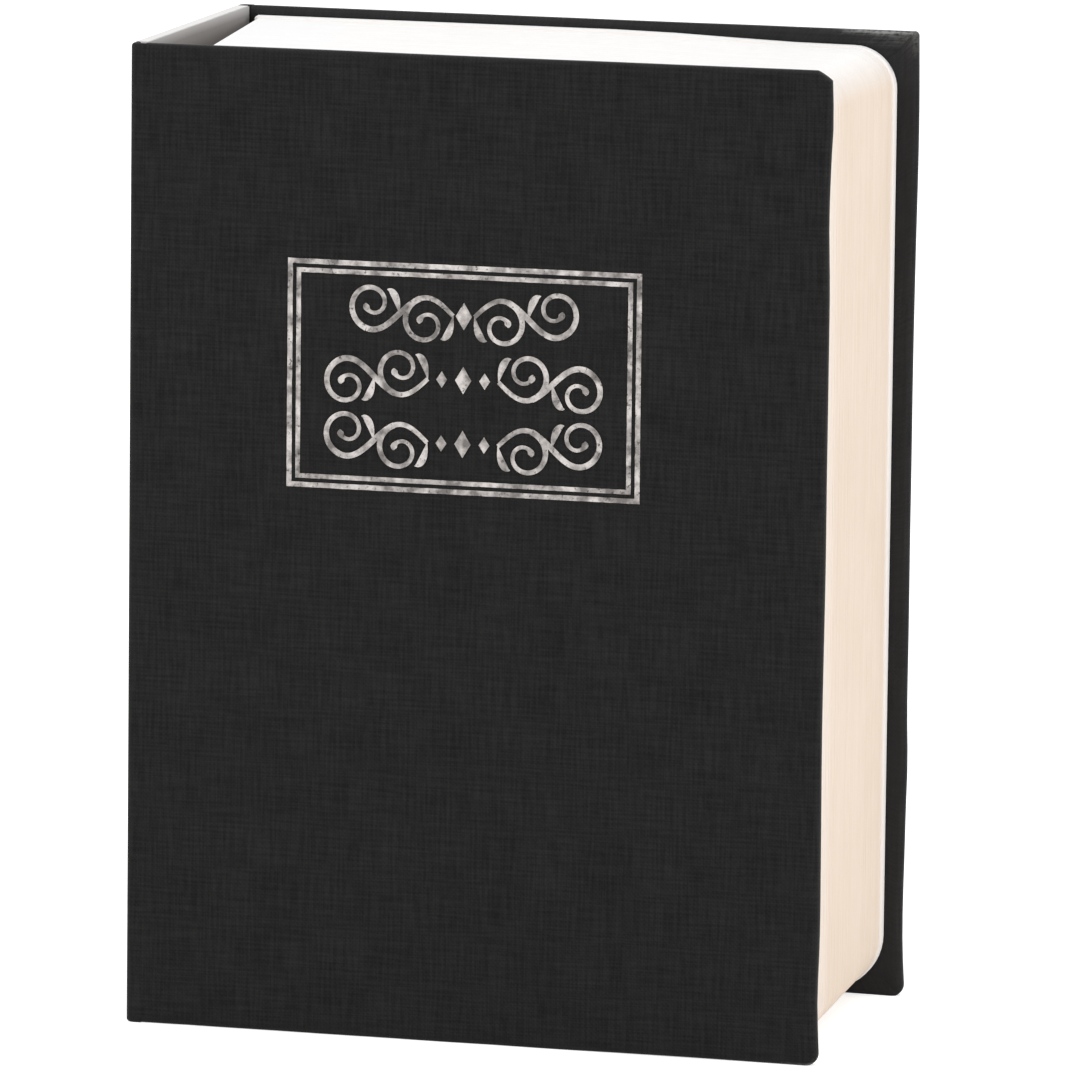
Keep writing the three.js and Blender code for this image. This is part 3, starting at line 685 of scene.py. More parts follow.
def cover_cloth(name, cover, side, u_of_x):
    """side is -1 for the front cover and 1 for the back one. u_of_x unrolls the cloth round the spine."""
    outer_y = side * abs(book_front)
    seed = 3.7 * side
    rim = cover_path(cover, edge_radius)
    rings, places = [], []
    marks = {"turned": [], "rubbed": []}

    def lifted(x, z, out_x, out_z, share, inset, depth):
        """Moves a point out by the corners' swell, the cloth's wobble and the worn edge's dents."""
        fade = max(0.0, 1 - inset / swell_fade)
        swell = 0.0
        for end, at in (("tail", 0), ("head", book_height)):
            swell += corner_looks[cover, end][2] * bell(math.dist((x, z), (fore_edge, at)), swell_reach)
        calm = ease(x, hinge_edge, hinge_edge + seam_ease)
        wobble = 0.10 * noise.noise((x * 0.06, z * 0.045, seed + 5)) * calm * fade
        worn = sum(way * bell(z - at, half) for at, half, way in worn_edges[cover])
        push = swell * fade + wobble + worn * fade * max(0.0, out_x)
        on_mitre = max(0.0, 1 - 4 * (1 - share))
        groove = mitre_groove * on_mitre * ease(depth, cover_depth - 0.6, cover_depth - 0.1)
        return x + out_x * push, outer_y - side * (depth - groove), z + out_z * push

    def mark(x, z, depth):
        """Notes how far a point is turned in and how bare it is rubbed."""
        # This mark also lifts the turn-ins' colour in the material: painted light.
        marks["turned"].append(ease(depth, cover_depth - 0.6, cover_depth - 0.2))
        bare = 0.0
        for at_x, at_z, wide, high in rubbed_spots[cover]:
            bare += math.exp(-(((x - at_x) / wide) ** 2) - ((z - at_z) / high) ** 2)
        marks["rubbed"].append(min(1.0, bare) * ease(depth, 0, 0.4))

    def add_ring(inset, depth, run):
        ring = []
        for (x, z, out_x, out_z, share), (rim_x, rim_z, *_) in zip(cover_path(cover, inset), rim):
            ring.append(lifted(x, z, out_x, out_z, share, inset, depth))
            places.append((u_of_x(rim_x + out_x * run), rim_z + out_z * run))
            mark(x, z, depth)
        rings.append(ring)

    def add_face_ring(share, depth):
        """A ring of the flat face. At share 0 it is the face's rim and at 1 a line at mid height."""
        ring = []
        for k, (x, z, out_x, out_z, corner) in enumerate(rim):
            along = min(1, k / side_points, (len(rim) - 1 - k) / side_points)
            middle_x = hinge_edge + (fore_edge - middle_end - hinge_edge) * along
            px, pz = x + (middle_x - x) * share, z + (book_height / 2 - z) * share
            inset = edge_radius + math.dist((x, z), (px, pz))
            sx, _, sz = lifted(px, pz, out_x, out_z, corner, inset, 0)
            ring.append((sx, outer_y - side * (depth - ripple(px, pz, seed) * ease(share, 0, 0.15)), sz))
            places.append((u_of_x(px), pz))
            mark(px, pz, 0)
        rings.append(ring)

    face_shares = [1 - 0.05 * k for k in range(19)] + [0.06, 0.03, 0.01]
    for share in face_shares:
        add_face_ring(share, 0)
    for inset, depth, run in edge_profile(cover_depth, edge_radius):
        add_ring(inset, depth, run)
    for share in reversed(face_shares):
        add_face_ring(share, cloth_thick)
    points, faces = skin(rings, ring_closed=False)
    starts = range(0, len(points), len(rim))
    faces += [tuple(starts), tuple(start + len(rim) - 1 for start in reversed(starts))]
    return new_piece(name, points, faces, black_cloth, places, marks)


print("turn-ins are", turn_in_width, "mm wide")

# %% [markdown]
# ## Cloth in the joints
# Between each board and the spine the cloth has nothing stiff behind it, and this is where a book bends. At
# rest the strip runs round a soft corner. Each section of it is the same closed line, a thin layer turned
# over at head and tail, swept round the corner. The strip keeps the place where it is made, and the solid
# that it dresses is hidden.

# %% Cloth in the joints
joint_radius = 1.6
joint_depth = 1.35


def joint_line(side):
    """Places round the joint's corner from the cover to the spine: (x, y, inward x, inward y)."""
    centre_x, centre_y = spine_left + joint_radius, abs(book_front) - joint_radius
    line = [(hinge_edge + (centre_x - hinge_edge) * k / 3, abs(book_front), 0, -1) for k in range(3)]
    for cos, sin in arc(1, 90, 180, 10):
        line.append((centre_x + joint_radius * cos, centre_y + joint_radius * sin, -cos, -sin))
    line += [(spine_left, centre_y + (spine_half - centre_y) * k / 3, 1, 0) for k in range(1, 4)]
    return [(x, side * y, in_x, side * in_y) for x, y, in_x, in_y in line]


def joint_cloth(name, side, u_of_run):
    line = joint_line(side)
    radius = joint_depth / 2 - 0.05
    half = edge_profile(joint_depth, radius)
    rings, places = [], []
    for (x, y, in_x, in_y), run in zip(line, run_along(line)):
        head = [(book_height - inset, depth, book_height - radius + along) for inset, depth, along in half]
        tail = [(inset, depth, radius - along) for inset, depth, along in reversed(half)]
        rings.append([(x + in_x * depth, y + in_y * depth, z) for z, depth, _ in head + tail])
        places += [(u_of_run(run), v) for *_, v in head + tail]
    return skinned(name, rings, black_cloth, places, caps=True)


def joint_blend(piece, node):
    """Keeps the strip where it is made, in its mesh's points, and hides the solid that it dresses."""
    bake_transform(piece)
    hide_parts(node)


joint_run = run_along(joint_line(1))[-1]
back_shift = 2 * hinge_edge - 2 * joint_run - 2 * spine_half
front_cloth = cover_cloth("front_cover_cloth", "front", -1, lambda x: x)
back_cloth = cover_cloth("back_cover_cloth", "back", 1, lambda x: back_shift - x)
place_on(front_cloth, "cover", "book_cloth", "front_cloth")
place_on(back_cloth, "safe", "book_cloth", "back_cloth")
front_joint = joint_cloth("front_joint_strip", -1, lambda run: hinge_edge - run)
back_joint = joint_cloth("back_joint_strip", 1, lambda run: back_shift - hinge_edge + run)
joint_blend(front_joint, "front_joint_cloth")
joint_blend(back_joint, "back_joint_cloth")
print("cover cloths:", len(front_cloth.data.polygons), len(back_cloth.data.polygons), "faces")
print("joint strips run", round(joint_run, 2), "mm round the corner")

# %% [markdown]
# ## Spine
# The spine is a flat strip of pale board with cloth glued outside and paper inside. Its head is trimmed
# bare, which is why the photograph shows a pale edge there. The cloth stops a hair below the trimmed head,
# and the board's edges are slightly crushed, so they are rounded.

# %% Spine
spine_cloth_thick = 0.2
spine_trim = 0.35


def spine_layer(name, outer_x, inner_x, trim, material, wave=0.0):
    """An upright strip in Y and Z: a grid for each face, so that it can take a slight wave."""
    steps_y, steps_z = 10, 28
    rings, places = [], []
    soft = min(0.12, abs(inner_x - outer_x) / 3)
    for k in range(steps_z + 1):
        z = trim + (book_height - 2 * trim) * k / steps_z
        closing = soft if k in (0, steps_z) else 0.0
        ring = []
        for x, order in ((outer_x + closing, range(steps_y + 1)), (inner_x - closing, range(steps_y, -1, -1))):
            for j in order:
                y = -spine_half + 2 * spine_half * j / steps_y
                calm = ease(spine_half - abs(y), 0, 8) * ease(min(z, book_height - z), 0, 3)
                inside = x > (outer_x + inner_x) / 2
                bend = wave * calm * noise.noise((y * 0.05, z * 0.03, 1.3)) if inside else 0
                ring.append((x + bend, y, z))
                places.append((hinge_edge - joint_run - (y + spine_half), z))
        rings.append(ring)
    return skinned(name, rings, material, places, caps=True)


board_edge = limits("spine_board")[1].x
paper_edge = limits("spine_lining")[1].x
cloth_edge = spine_left + spine_cloth_thick
spine_cloth = spine_layer("spine_cover_cloth", spine_left, cloth_edge, spine_trim, black_cloth)
spine_strip = spine_layer("spine_card", cloth_edge, board_edge, 0, pale_card)
# The spine's paper takes the darker copy of the lining paper as painted shade, with a painted lighter band at
# its head.
spine_paper = spine_layer("spine_paper", board_edge, paper_edge, 0.1, spine_liner_painted_shade, 0.12)
place_on(spine_cloth, "spine", "book_cloth", "spine_cloth")
place_on(spine_strip, "spine", "pale_card", "spine_board")
place_on(spine_paper, "spine", "lining_paper", "spine_lining")
print("spine strip", round(2 * spine_half, 1), "mm wide")

# %% [markdown]
# ## Boards and linings
# The grey boards hide in the cloth. Paper covers the raw edges of the turn-ins inside each cover, and dips
# between them, because the turned-in cloth stands proud of the board. That dip is the only clue to the
# layers underneath, so it is in the mesh.

# %% Boards and linings
paper_dip = 0.28
paper_corner = 12.0
dip_ramp = 1.6
board_soft = 0.6
board_corner = 3.0
board_inset_hinge, board_inset_fore = 0.4, 0.35
paper_thick = 0.2
paper_margin = 5.0


def soft_board(name, low, high):
    """A board across Y with round corners and soft edges, cut a little short of its solid."""
    depths = [(board_soft + 0.01, low.y)]
    depths += [(board_soft - a, low.y + (board_soft - b)) for a, b in arc(board_soft, 90, 0, 3)]
    depths += [(board_soft - b, high.y - (board_soft - a)) for a, b in arc(board_soft, 90, 0, 3)]
    depths.append((board_soft + 0.01, high.y))
    left, right = low.x + board_inset_hinge, high.x - board_inset_fore
    rings = []
    for inset, y in depths:
        radii = [max(board_corner - inset, 0.05)] * 4
        outline = rounded_ring(left + inset, right - inset, low.z + inset, high.z - inset, radii)
        rings.append(at_depth(outline, y))
    return skinned(name, rings, grey_card, caps=True)


def dipped(x, z, side):
    inside = min(fore_edge - turn_in_width - x, z - turn_in_width, book_height - turn_in_width - z)
    return side * paper_dip * ease(inside, 0, dip_ramp)


def rounded_off(x, z, right, bottom, top):
    """Squeezes the square at each fore-edge corner of a sheet into a quarter disc, so the corner is round."""
    way = 1 if z > book_height / 2 else -1
    base_x = right - paper_corner
    base_z = (top if way > 0 else bottom) - way * paper_corner
    across, up = max(0.0, (x - base_x) / paper_corner), max(0.0, way * (z - base_z) / paper_corner)
    moved_x = x if x < base_x else base_x + paper_corner * across * math.sqrt(1 - up * up / 2)
    moved_z = z if up == 0 else base_z + way * paper_corner * up * math.sqrt(1 - across * across / 2)
    return moved_x, moved_z


def fine_stops(edge, way, reach, count):
    return [edge + way * (reach * k / count) for k in range(count + 1)]


def grid_stops(low, high, count, extra):
    """Even stops and extra ones where the sheet bends, without those that nearly meet."""
    stops = sorted(set([low + (high - low) * k / count for k in range(count + 1)] + extra))
    return [there for here, there in zip([-1e3] + stops, stops) if there - here > 0.01]


def lining_sheet(name, node, side):
    """A sheet of paper on a cover's inner face, with a grid fine enough near the turn-ins for the dip."""
    low, high = limits(node)
    left, right, bottom, top = low.x, high.x, paper_margin, book_height - paper_margin
    surface = low.y if side > 0 else high.y
    dips, rounds = (dip_ramp, 4), (paper_corner, 6)
    extra_x = fine_stops(fore_edge - turn_in_width, -1, *dips) + fine_stops(right, -1, *rounds)
    extra_z = fine_stops(turn_in_width, 1, *dips) + fine_stops(book_height - turn_in_width, -1, *dips)
    extra_z += fine_stops(bottom, 1, *rounds) + fine_stops(top, -1, *rounds)
    stops_x, stops_z = grid_stops(left, right, 24, extra_x), grid_stops(bottom, top, 34, extra_z)
    points, faces = [], []
    wide, tall = len(stops_x), len(stops_z)
    for layer in (0.0, paper_thick):
        for z in stops_z:
            for x in stops_x:
                crease = 0.05 * noise.noise((x * 0.05, z * 0.05, 9 * side))
                y = surface + side * layer + dipped(x, z, side) + side * crease * (1 - layer)
                place_x, place_z = rounded_off(x, z, right, bottom, top)
                points.append((place_x, y, place_z))
    under = wide * tall
    for row in range(tall - 1):
        for column in range(wide - 1):
            a = row * wide + column
            faces.append((a, a + 1, a + 1 + wide, a + wide))
            faces.append((under + a, under + a + wide, under + a + 1 + wide, under + a + 1))
    rim = [k for k in range(wide)] + [(r + 1) * wide - 1 for r in range(1, tall)]
    rim += [(tall - 1) * wide + k for k in range(wide - 2, -1, -1)] + [r * wide for r in range(tall - 2, 0, -1)]
    for here, there in zip(rim, rim[1:] + rim[:1]):
        faces.append((here, under + here, under + there, there))
    return new_piece(name, points, faces, lining_paper)


for cover, side, body in (("front", -1, "cover"), ("back", 1, "safe")):
    board = soft_board(f"{cover}_card", *limits(f"{cover}_board"))
    place_on(board, body, "card", f"{cover}_board")
    sheet = lining_sheet(f"{cover}_endpaper", f"{cover}_lining", side)
    place_on(sheet, body, "lining_paper", f"{cover}_lining")

# %% [markdown]
# ## Geometry Nodes helpers
# What repeats on a piece is made by a tree of Geometry Nodes, which the script builds. `new_tree` opens a
# tree with named inputs and `close_tree` ends it with real geometry and a material. `run_nodes` sets the
# inputs, runs the tree once and keeps a plain mesh, so that a joint moves a finished piece.

# %% Geometry Nodes helpers


def new_tree(name, **kinds):
    """A geometry tree with a geometry in and out, and a named input for each size."""
    tree = bpy.data.node_groups.new(name, "GeometryNodeTree")
    tree.interface.new_socket("Geometry", in_out="INPUT", socket_type="NodeSocketGeometry")
    for label, kind in kinds.items():
        tree.interface.new_socket(label.replace("_", " "), in_out="INPUT", socket_type=f"NodeSocket{kind}")
    tree.interface.new_socket("Geometry", in_out="OUTPUT", socket_type="NodeSocketGeometry")
    return tree, tree.nodes.new("NodeGroupInput").outputs


def close_tree(tree, geometry, material):
    real = add_node(tree, "GeometryNodeRealizeInstances", {"Geometry": geometry})
    dressed = add_node(tree, "GeometryNodeSetMaterial", {"Geometry": real.outputs[0], "Material": material})
    add_node(tree, "NodeGroupOutput", {"Geometry": dressed.outputs[0]})
    return tree


def named(tree, name, kind):
    """A value that the mesh carries under a name."""
    return add_node(tree, "GeometryNodeInputNamedAttribute", {"Name": name}, data_type=kind).outputs[0]


def run_nodes(piece, tree, **values):
    """Runs a node tree on a piece and keeps the result as a plain mesh."""
    modifier = piece.modifiers.new(tree.name, "NODES")
    modifier.node_group = tree
    names = {item.name: item.identifier for item in tree.interface.items_tree if item.in_out == "INPUT"}
    for key, value in values.items():
        modifier[names[key.replace("_", " ")]] = value
    graph = bpy.context.evaluated_depsgraph_get()
    result = bpy.data.meshes.new_from_object(piece.evaluated_get(graph))
    piece.modifiers.remove(modifier)
    piece.data = result
    return piece


print("geometry helpers are ready")

# %% [markdown]
# ## Page block
# The pages are one moulded shell: leaf lines on three sides, round corners at the fore-edge, a smooth lip in
# front and behind, and a flat rim round the lid. Its left end slopes, so each ring is a little longer than
# the one before. The mesh is one skin that runs outside, over the back, inside and over the rim, and closes
# on itself. Geometry Nodes then press in the leaf lines: every leaf gets the same random step in or out all
# round, which a fixed seed keeps the same each time.

# %% Page block
leaf_count = 76
leaf_groove = 0.13
leaf_step = 0.10
lip_rise = 0.4
leaf_seed = 7
shell_wall = 2.4
tail_corners = (4.2, 10.2)
head_corners = (6.5, 8.0)
head_droop = 1.1
rim_radius = 5.0
rim_thick = 1.8
rim_width = 6.8
rim_hinge_width = 7.4
moulded_edge = 0.45
left_at_front = spine_left + 11.1
left_at_back = block_low.x
hinge_corner = 0.5


def depth_share(y):
    """0 at the shell's front and 1 at its back."""
    return (y - block_low.y) / (block_high.y - block_low.y)


def block_left(y):
    return left_at_front + (left_at_back - left_at_front) * depth_share(y)


def block_ring(y, inset):
    """The shell's outline at a depth. Its head droops toward the fore-edge, most of all on the outside."""
    share = depth_share(y)
    tail, head = (max(near + (far - near) * share - inset, 0.3) for near, far in (tail_corners, head_corners))
    radii = (hinge_corner, tail, head, hinge_corner)
    low, high = block_low.z + inset, block_high.z - inset
    outline = rounded_ring(block_left(y) + inset, block_high.x - inset, low, high, radii, 12, 10)
    worn = max(0.0, 1 - inset / shell_wall)

    def droop(x, z):
        return worn * (0.2 + head_droop * ease(x, 8, 50)) * ease(z, high - 30, high - 2)
    return [(x, y, z - droop(x, z)) for x, z in outline]


def rim_ring(y, grow):
    left, right = left_at_front + rim_hinge_width - grow, block_high.x - rim_width + grow
    low, high = block_low.z + rim_width - grow, block_high.z - rim_width + grow
    return at_depth(rounded_ring(left, right, low, high, [rim_radius + grow] * 4, 12, 10), y)


def page_rings():
    """Rings in order round the shell's wall, each with its leaf number and how much of a groove it is."""
    front, behind = block_low.y, block_high.y
    first, last = front + front_lip + 0.1, behind - back_lip - 0.1
    pitch = (last - first) / leaf_count
    rounding = arc(moulded_edge, 0, 90, 3)
    stops = [(front + moulded_edge - a, moulded_edge - b, 0, 0) for a, b in rounding]
    stops += [(front + front_lip - lip_blend, 0, 0, 0), (front + front_lip, lip_blend, 0, 0)]
    for leaf in range(leaf_count):
        start = first + leaf * pitch
        stops.append((start, lip_rise, leaf + 1, 1))
        stops += [(start + share * pitch, lip_rise, leaf + 1, 0) for share in (0.2, 0.5, 0.8)]
    stops += [(last, lip_rise, leaf_count, 1), (behind - back_lip, lip_blend, 0, 0)]
    stops += [(behind - back_lip + lip_blend, 0, 0, 0), (behind - 0.2, 0, 0, 0), (behind, 0.2, 0, 0)]
    stops += [(behind, shell_wall, 0, 0), (front + rim_thick + 0.6, shell_wall, 0, 0)]
    stops.append((front + rim_thick, shell_wall + 0.6, 0, 0))
    rings = [(block_ring(y, inset), leaf, groove) for y, inset, leaf, groove in stops]
    rim = [(front + rim_thick - moulded_edge + a, moulded_edge - b) for a, b in rounding]
    rim += [(front + moulded_edge - b, moulded_edge - a) for a, b in rounding]
    return rings + [(rim_ring(y, grow), 0, 0) for y, grow in rim]


def pressed_leaves(material):
    """A node tree that pushes each leaf in or out and presses the lines between leaves."""
    tree, given = new_tree("pressed_leaves", Groove="Float", Leaf_step="Float", Seed="Int")
    leaf, groove = named(tree, "leaf", "INT"), named(tree, "groove", "FLOAT")
    random = {"ID": leaf, "Seed": given["Seed"]}
    chance = add_node(tree, "FunctionNodeRandomValue", random, data_type="FLOAT").outputs["Value"]
    on_leaf = calc("GREATER_THAN", leaf, 0.5)
    step = calc("MULTIPLY", calc("MULTIPLY", chance, given["Leaf step"]), on_leaf)
    push = calc("MULTIPLY_ADD", groove, given["Groove"], step)
    reach = {0: named(tree, "outward", "FLOAT_VECTOR"), "Scale": calc("MULTIPLY", push, -1.0)}
    inward = add_node(tree, "ShaderNodeVectorMath", reach, operation="SCALE").outputs[0]
    moved = add_node(tree, "GeometryNodeSetPosition", {"Geometry": given["Geometry"], "Offset": inward})
    return close_tree(tree, moved.outputs[0], material)


page_table = page_rings()
page_block = skinned("page_block", [ring for ring, *_ in page_table], cream_pages, loop_rings=True)
leaf_numbers, grooves, outwards = [], [], []
for ring, leaf, groove in page_table:
    for k, (x, y, z) in enumerate(ring):
        along = Vector(ring[(k + 1) % len(ring)]) - Vector(ring[k - 1])
        outward = Vector((along.z, 0, -along.x)).normalized() if x > block_left(y) + 1 else Vector()
        leaf_numbers.append(leaf)
        grooves.append(float(groove))
        outwards += tuple(outward)
for key, kind, field, values in (
    ("leaf", "INT", "value", leaf_numbers),
    ("groove", "FLOAT", "value", grooves),
    ("outward", "FLOAT_VECTOR", "vector", outwards),
):
    page_block.data.attributes.new(key, kind, "POINT").data.foreach_set(field, values)
sizes = {"Groove": leaf_groove * MM, "Leaf_step": leaf_step * MM}
run_nodes(page_block, pressed_leaves(cream_pages), Seed=leaf_seed, **sizes)
page_block.data.set_sharp_from_angle(angle=sharp_angle)
place_on(page_block, "safe", "page_cream", "page_shell")
print("page block:", len(page_block.data.polygons), "faces,", leaf_count, "leaves")

# %% [markdown]
# ## Tools for metal parts
# Sheet and turned parts need a few more tools. `softened` breaks the corners of a drawn line, because no
# real edge is perfectly sharp and a small round is what catches the light. `turned` spins a profile round the
# lock's axis, like a lathe. `plate` gives an outline a thickness, and a hole where one is drawn. `cut` takes
# one shape out of another.

# %% Tools for metal parts
lathe_steps = 96


def softened(corners, radius, closed=False, steps=3):
    """Rounds the corners of a line of (a, b) points."""
    made = []
    for k, corner in enumerate(corners):
        if not closed and k in (0, len(corners) - 1):
            made.append(tuple(corner))
            continue
        here = Vector(corner)
        before, after = Vector(corners[k - 1]) - here, Vector(corners[(k + 1) % len(corners)]) - here
        reach = min(radius, before.length * 0.45, after.length * 0.45)
        start, end = here + before.normalized() * reach, here + after.normalized() * reach
        for step in range(steps + 1):
            share = step / steps
            made.append(tuple(start.lerp(here, share).lerp(here.lerp(end, share), share)))
    return made


def turned(name, profile, material, closed=False, shape=None):
    """Spins (radius, y) points round the lock's axis. shape may change the radius: from radius, angle and y."""
    rings = []
    for radius, y in profile:
        ring = []
        for k in range(lathe_steps):
            angle = 2 * math.pi * k / lathe_steps
            reach = shape(radius, angle, y) if shape and radius else radius
            ring.append((lock_across + reach * math.cos(angle), y, lock_up + reach * math.sin(angle)))
        rings.append(ring)
    return skinned(name, rings, material, loop_rings=closed)


def shrunk(outline, distance):
    """A closed outline moved inward, for the rounded edge of a plate. The outline runs anticlockwise."""
    made = []
    for k, point in enumerate(outline):
        here, before, after = Vector(point), Vector(outline[k - 1]), Vector(outline[(k + 1) % len(outline)])
        one, two = (here - before).normalized(), (after - here).normalized()
        normal = Vector((-one.y - two.y, one.x + two.x))
        made.append(tuple(here + normal.normalized() * distance))
    return made


def plate(name, outline, low, high, material, edge=0.15, hole=None, upright=False):
    """An outline in X and Z with a thickness across Y, or upright: an outline in X and Y with a height."""
    def put(outline, level):
        return [(a, b, level) if upright else (a, level, b) for a, b in outline]

    levels = [(edge * (1 - b), low + edge * (1 - a)) for a, b in arc(1, 0, 90, 2)]
    levels += [(edge * (1 - b), high - edge * (1 - a)) for a, b in arc(1, 90, 0, 2)]
    rings = [put(shrunk(outline, inset), level) for inset, level in levels]
    if hole:
        rings += [put(hole, high), put(hole, low)]
    return skinned(name, rings, material, caps=not hole, loop_rings=bool(hole))


def cut(piece, tool, operation="DIFFERENCE"):
    """Cuts a tool's shape out of a piece, or joins it on, and throws the tool away."""
    modifier = piece.modifiers.new("cut", "BOOLEAN")
    modifier.operation, modifier.object, modifier.solver = operation, tool, "EXACT"
    graph = bpy.context.evaluated_depsgraph_get()
    mesh = bpy.data.meshes.new_from_object(piece.evaluated_get(graph))
    piece.modifiers.remove(modifier)
    bpy.data.objects.remove(tool)
    work = bmesh.new()
    work.from_mesh(mesh)
    bmesh.ops.remove_doubles(work, verts=work.verts, dist=0.001 * MM)
    bmesh.ops.holes_fill(work, edges=[edge for edge in work.edges if edge.is_boundary])
    work.to_mesh(mesh)
    work.free()
    piece.data = mesh
    mesh.set_sharp_from_angle(angle=sharp_angle)
    return piece


def box_outline(left, right, low, high, radius=0.0):
    """The four corners of a rectangle, rounded where a radius is given."""
    corners = [(left, low), (right, low), (right, high), (left, high)]
    return softened(corners, radius, closed=True) if radius else corners


print("metal tools are ready")

# %% [markdown]
# ## Cash box
# The tray is folded from sheet: its walls turn in at the front to make a flange. The lid is pressed into a
# shallow pan so that the lock and the hinge sit below the cover. Both are one skin that goes along the front
# of the sheet, round its edge and along its back, with a true bend radius on each side of every fold.

# %% Cash box
sheet_thick = 1.0
sheet_edge = 0.25
tray_bend = 1.8
tray_radius = 5.6
mouth_radius = 4.0
flange_width = 9.2
tray_low, tray_high = limits("cash_tray")
pin_low, pin_high = limits("hinge_pin")
hinge_across = (pin_low.x + pin_high.x) / 2
hinge_depth = (pin_low.y + pin_high.y) / 2
knuckle_radius = (pin_high.x - pin_low.x) / 2
mouth_left = hinge_across - knuckle_radius - 0.3


def box_ring(low, high, radii, inset, y):
    """The outline of a box from low to high, set in by a distance, at a depth."""
    return at_depth(rounded_ring(low.x + inset, high.x - inset, low.z + inset, high.z - inset, radii), y)


def wall_ring(low, high, radius, inset, y):
    return box_ring(low, high, [max(radius - inset, 0.3)] * 4, inset, y)


def mouth_ring(grow, y):
    radii = (0.2 + grow, mouth_radius + grow, mouth_radius + grow, 0.2 + grow)
    right, low, high = tray_high.x - flange_width, tray_low.z + flange_width, tray_high.z - flange_width
    return at_depth(rounded_ring(mouth_left - grow, right + grow, low - grow, high + grow, radii), y)


def cash_tray():
    """Rings up the outside from the back, round the flange's mouth and down the inside."""
    front, back = tray_low.y, tray_high.y
    outer, inner = arc(tray_bend, 90, 0, 5), arc(tray_bend - sheet_thick, 90, 0, 5)
    mouth = [(sheet_edge - b, sheet_edge - a) for a, b in arc(sheet_edge, 90, 0, 3)]

    def wall(inset, y):
        return wall_ring(tray_low, tray_high, tray_radius, inset, y)

    rings = [wall(tray_bend - a, back - tray_bend + b) for a, b in outer]
    rings += [wall(tray_bend - a, front + tray_bend - b) for a, b in reversed(outer)]
    rings += [mouth_ring(sheet_edge - grow, front + sheet_edge - depth) for grow, depth in reversed(mouth)]
    rings += [wall(tray_bend - a, front + tray_bend - b) for a, b in inner]
    rings += [wall(tray_bend - a, back - tray_bend + b) for a, b in reversed(inner)]
    return skinned("folded_tray", rings, black_steel, caps=True)


pan_bend = 0.8
flange_bend = 0.7
pan_radius = 3.0
lid_radius = 4.2
lid_low, lid_high = limits("box_lid")
pan_low = Vector((limits("lid_hinge_leaf")[1].x + 0.5, 0, tray_low.z + flange_width + 1))
pan_high = Vector((tray_high.x - flange_width - 1, 0, tray_high.z - flange_width - 1))
pan_floor = lid_high.y - sheet_thick


def box_lid():
    """Rings from the pan's floor in front, up to the flange, round its edge and back behind the sheet."""
    front = lid_low.y
    centre, level = sheet_thick + pan_bend, pan_floor - pan_bend
    rise = front + sheet_thick + flange_bend

    def pan(inset, y):
        return wall_ring(pan_low, pan_high, pan_radius, inset, y)

    def flange(inset, y):
        return box_ring(lid_low, lid_high, (0.3, lid_radius - inset, lid_radius - inset, 0.3), inset, y)

    rings = [pan(centre - a, level + b) for a, b in arc(pan_bend, 90, 0, 5)]
    rings += [pan(a - flange_bend, rise - b) for a, b in arc(flange_bend + sheet_thick, 0, 90, 5)]
    rings += [flange(sheet_edge - a, front + sheet_edge - b) for a, b in arc(sheet_edge, 90, 0, 3)]
    back_edge = front + sheet_thick - sheet_edge
    rings += [flange(sheet_edge - a, back_edge + b) for a, b in arc(sheet_edge, 0, 90, 3)]
    rings += [pan(a - flange_bend, rise - b) for a, b in arc(flange_bend, 90, 0, 5)]
    rings += [pan(centre - a, level + b) for a, b in arc(pan_bend + sheet_thick, 0, 90, 5)]
    return skinned("pressed_lid", rings, black_steel, caps=True)


barrel_radius = 6.0
barrel_flat = 5.3
hole_gap = 0.3


def between_flats(radius, angle, clearance=0.0):
    """The radius of a round bar with two upright flats."""
    return min(radius, (barrel_flat + clearance) / max(abs(math.cos(angle)), 0.001))


def lock_hole_shape(radius, angle, y):
    """The hole in the lid, a little wider than the barrel that it holds."""
    return between_flats(radius, angle, hole_gap)


folded_tray = cash_tray()
pressed_lid = box_lid()
hole_radius, hole_front, hole_back = barrel_radius + hole_gap, pan_floor - 1, lid_high.y + 1
hole_line = [(0, hole_front), (hole_radius, hole_front), (hole_radius, hole_back), (0, hole_back)]
cut(pressed_lid, turned("lock_hole", hole_line, black_steel, shape=lock_hole_shape))
place_on(folded_tray, "safe", "black_steel", "cash_tray")
place_on(pressed_lid, "lid", "black_steel", "box_lid")
print("tray and lid:", len(folded_tray.data.polygons), len(pressed_lid.data.polygons), "faces")

# %% [markdown]
# ## Piano hinge
# Each leaf is one strip whose edge is cut into tongues, and each tongue is rolled round the pin. The leaf is
# drawn once with its first knuckle, and a node tree repeats the marked knuckle up the pin, so both leaves
# mesh with an even gap.

# %% Piano hinge
knuckle_count = 13
knuckle_gap = 0.4
bore_radius = 1.1
leaf_side_gap = 0.4
roll_slit = math.radians(8)
hinge_low, hinge_high = (corner.z for corner in limits("tray_hinge_leaf"))
knuckle_pitch = (hinge_high - hinge_low) / knuckle_count


def repeated_knuckles(material):
    """Keeps the leaf and repeats the faces marked as a knuckle up the pin."""
    tree, given = new_tree("repeated_knuckles", Count="Int", Step="Float")
    marked = {"Geometry": given["Geometry"], "Selection": named(tree, "knuckle", "BOOLEAN")}
    parts = add_node(tree, "GeometryNodeSeparateGeometry", marked, domain="FACE").outputs
    step = add_node(tree, "ShaderNodeCombineXYZ", {"Z": given["Step"]}).outputs[0]
    line = add_node(tree, "GeometryNodeMeshLine", {"Count": given["Count"], "Offset": step}, mode="OFFSET")
    spots = {"Points": line.outputs[0], "Instance": parts[0]}
    copies = add_node(tree, "GeometryNodeInstanceOnPoints", spots).outputs[0]
    joined = add_node(tree, "GeometryNodeJoinGeometry", {"Geometry": copies})
    tree.links.new(parts[1], joined.inputs["Geometry"])
    return close_tree(tree, joined.outputs[0], material)


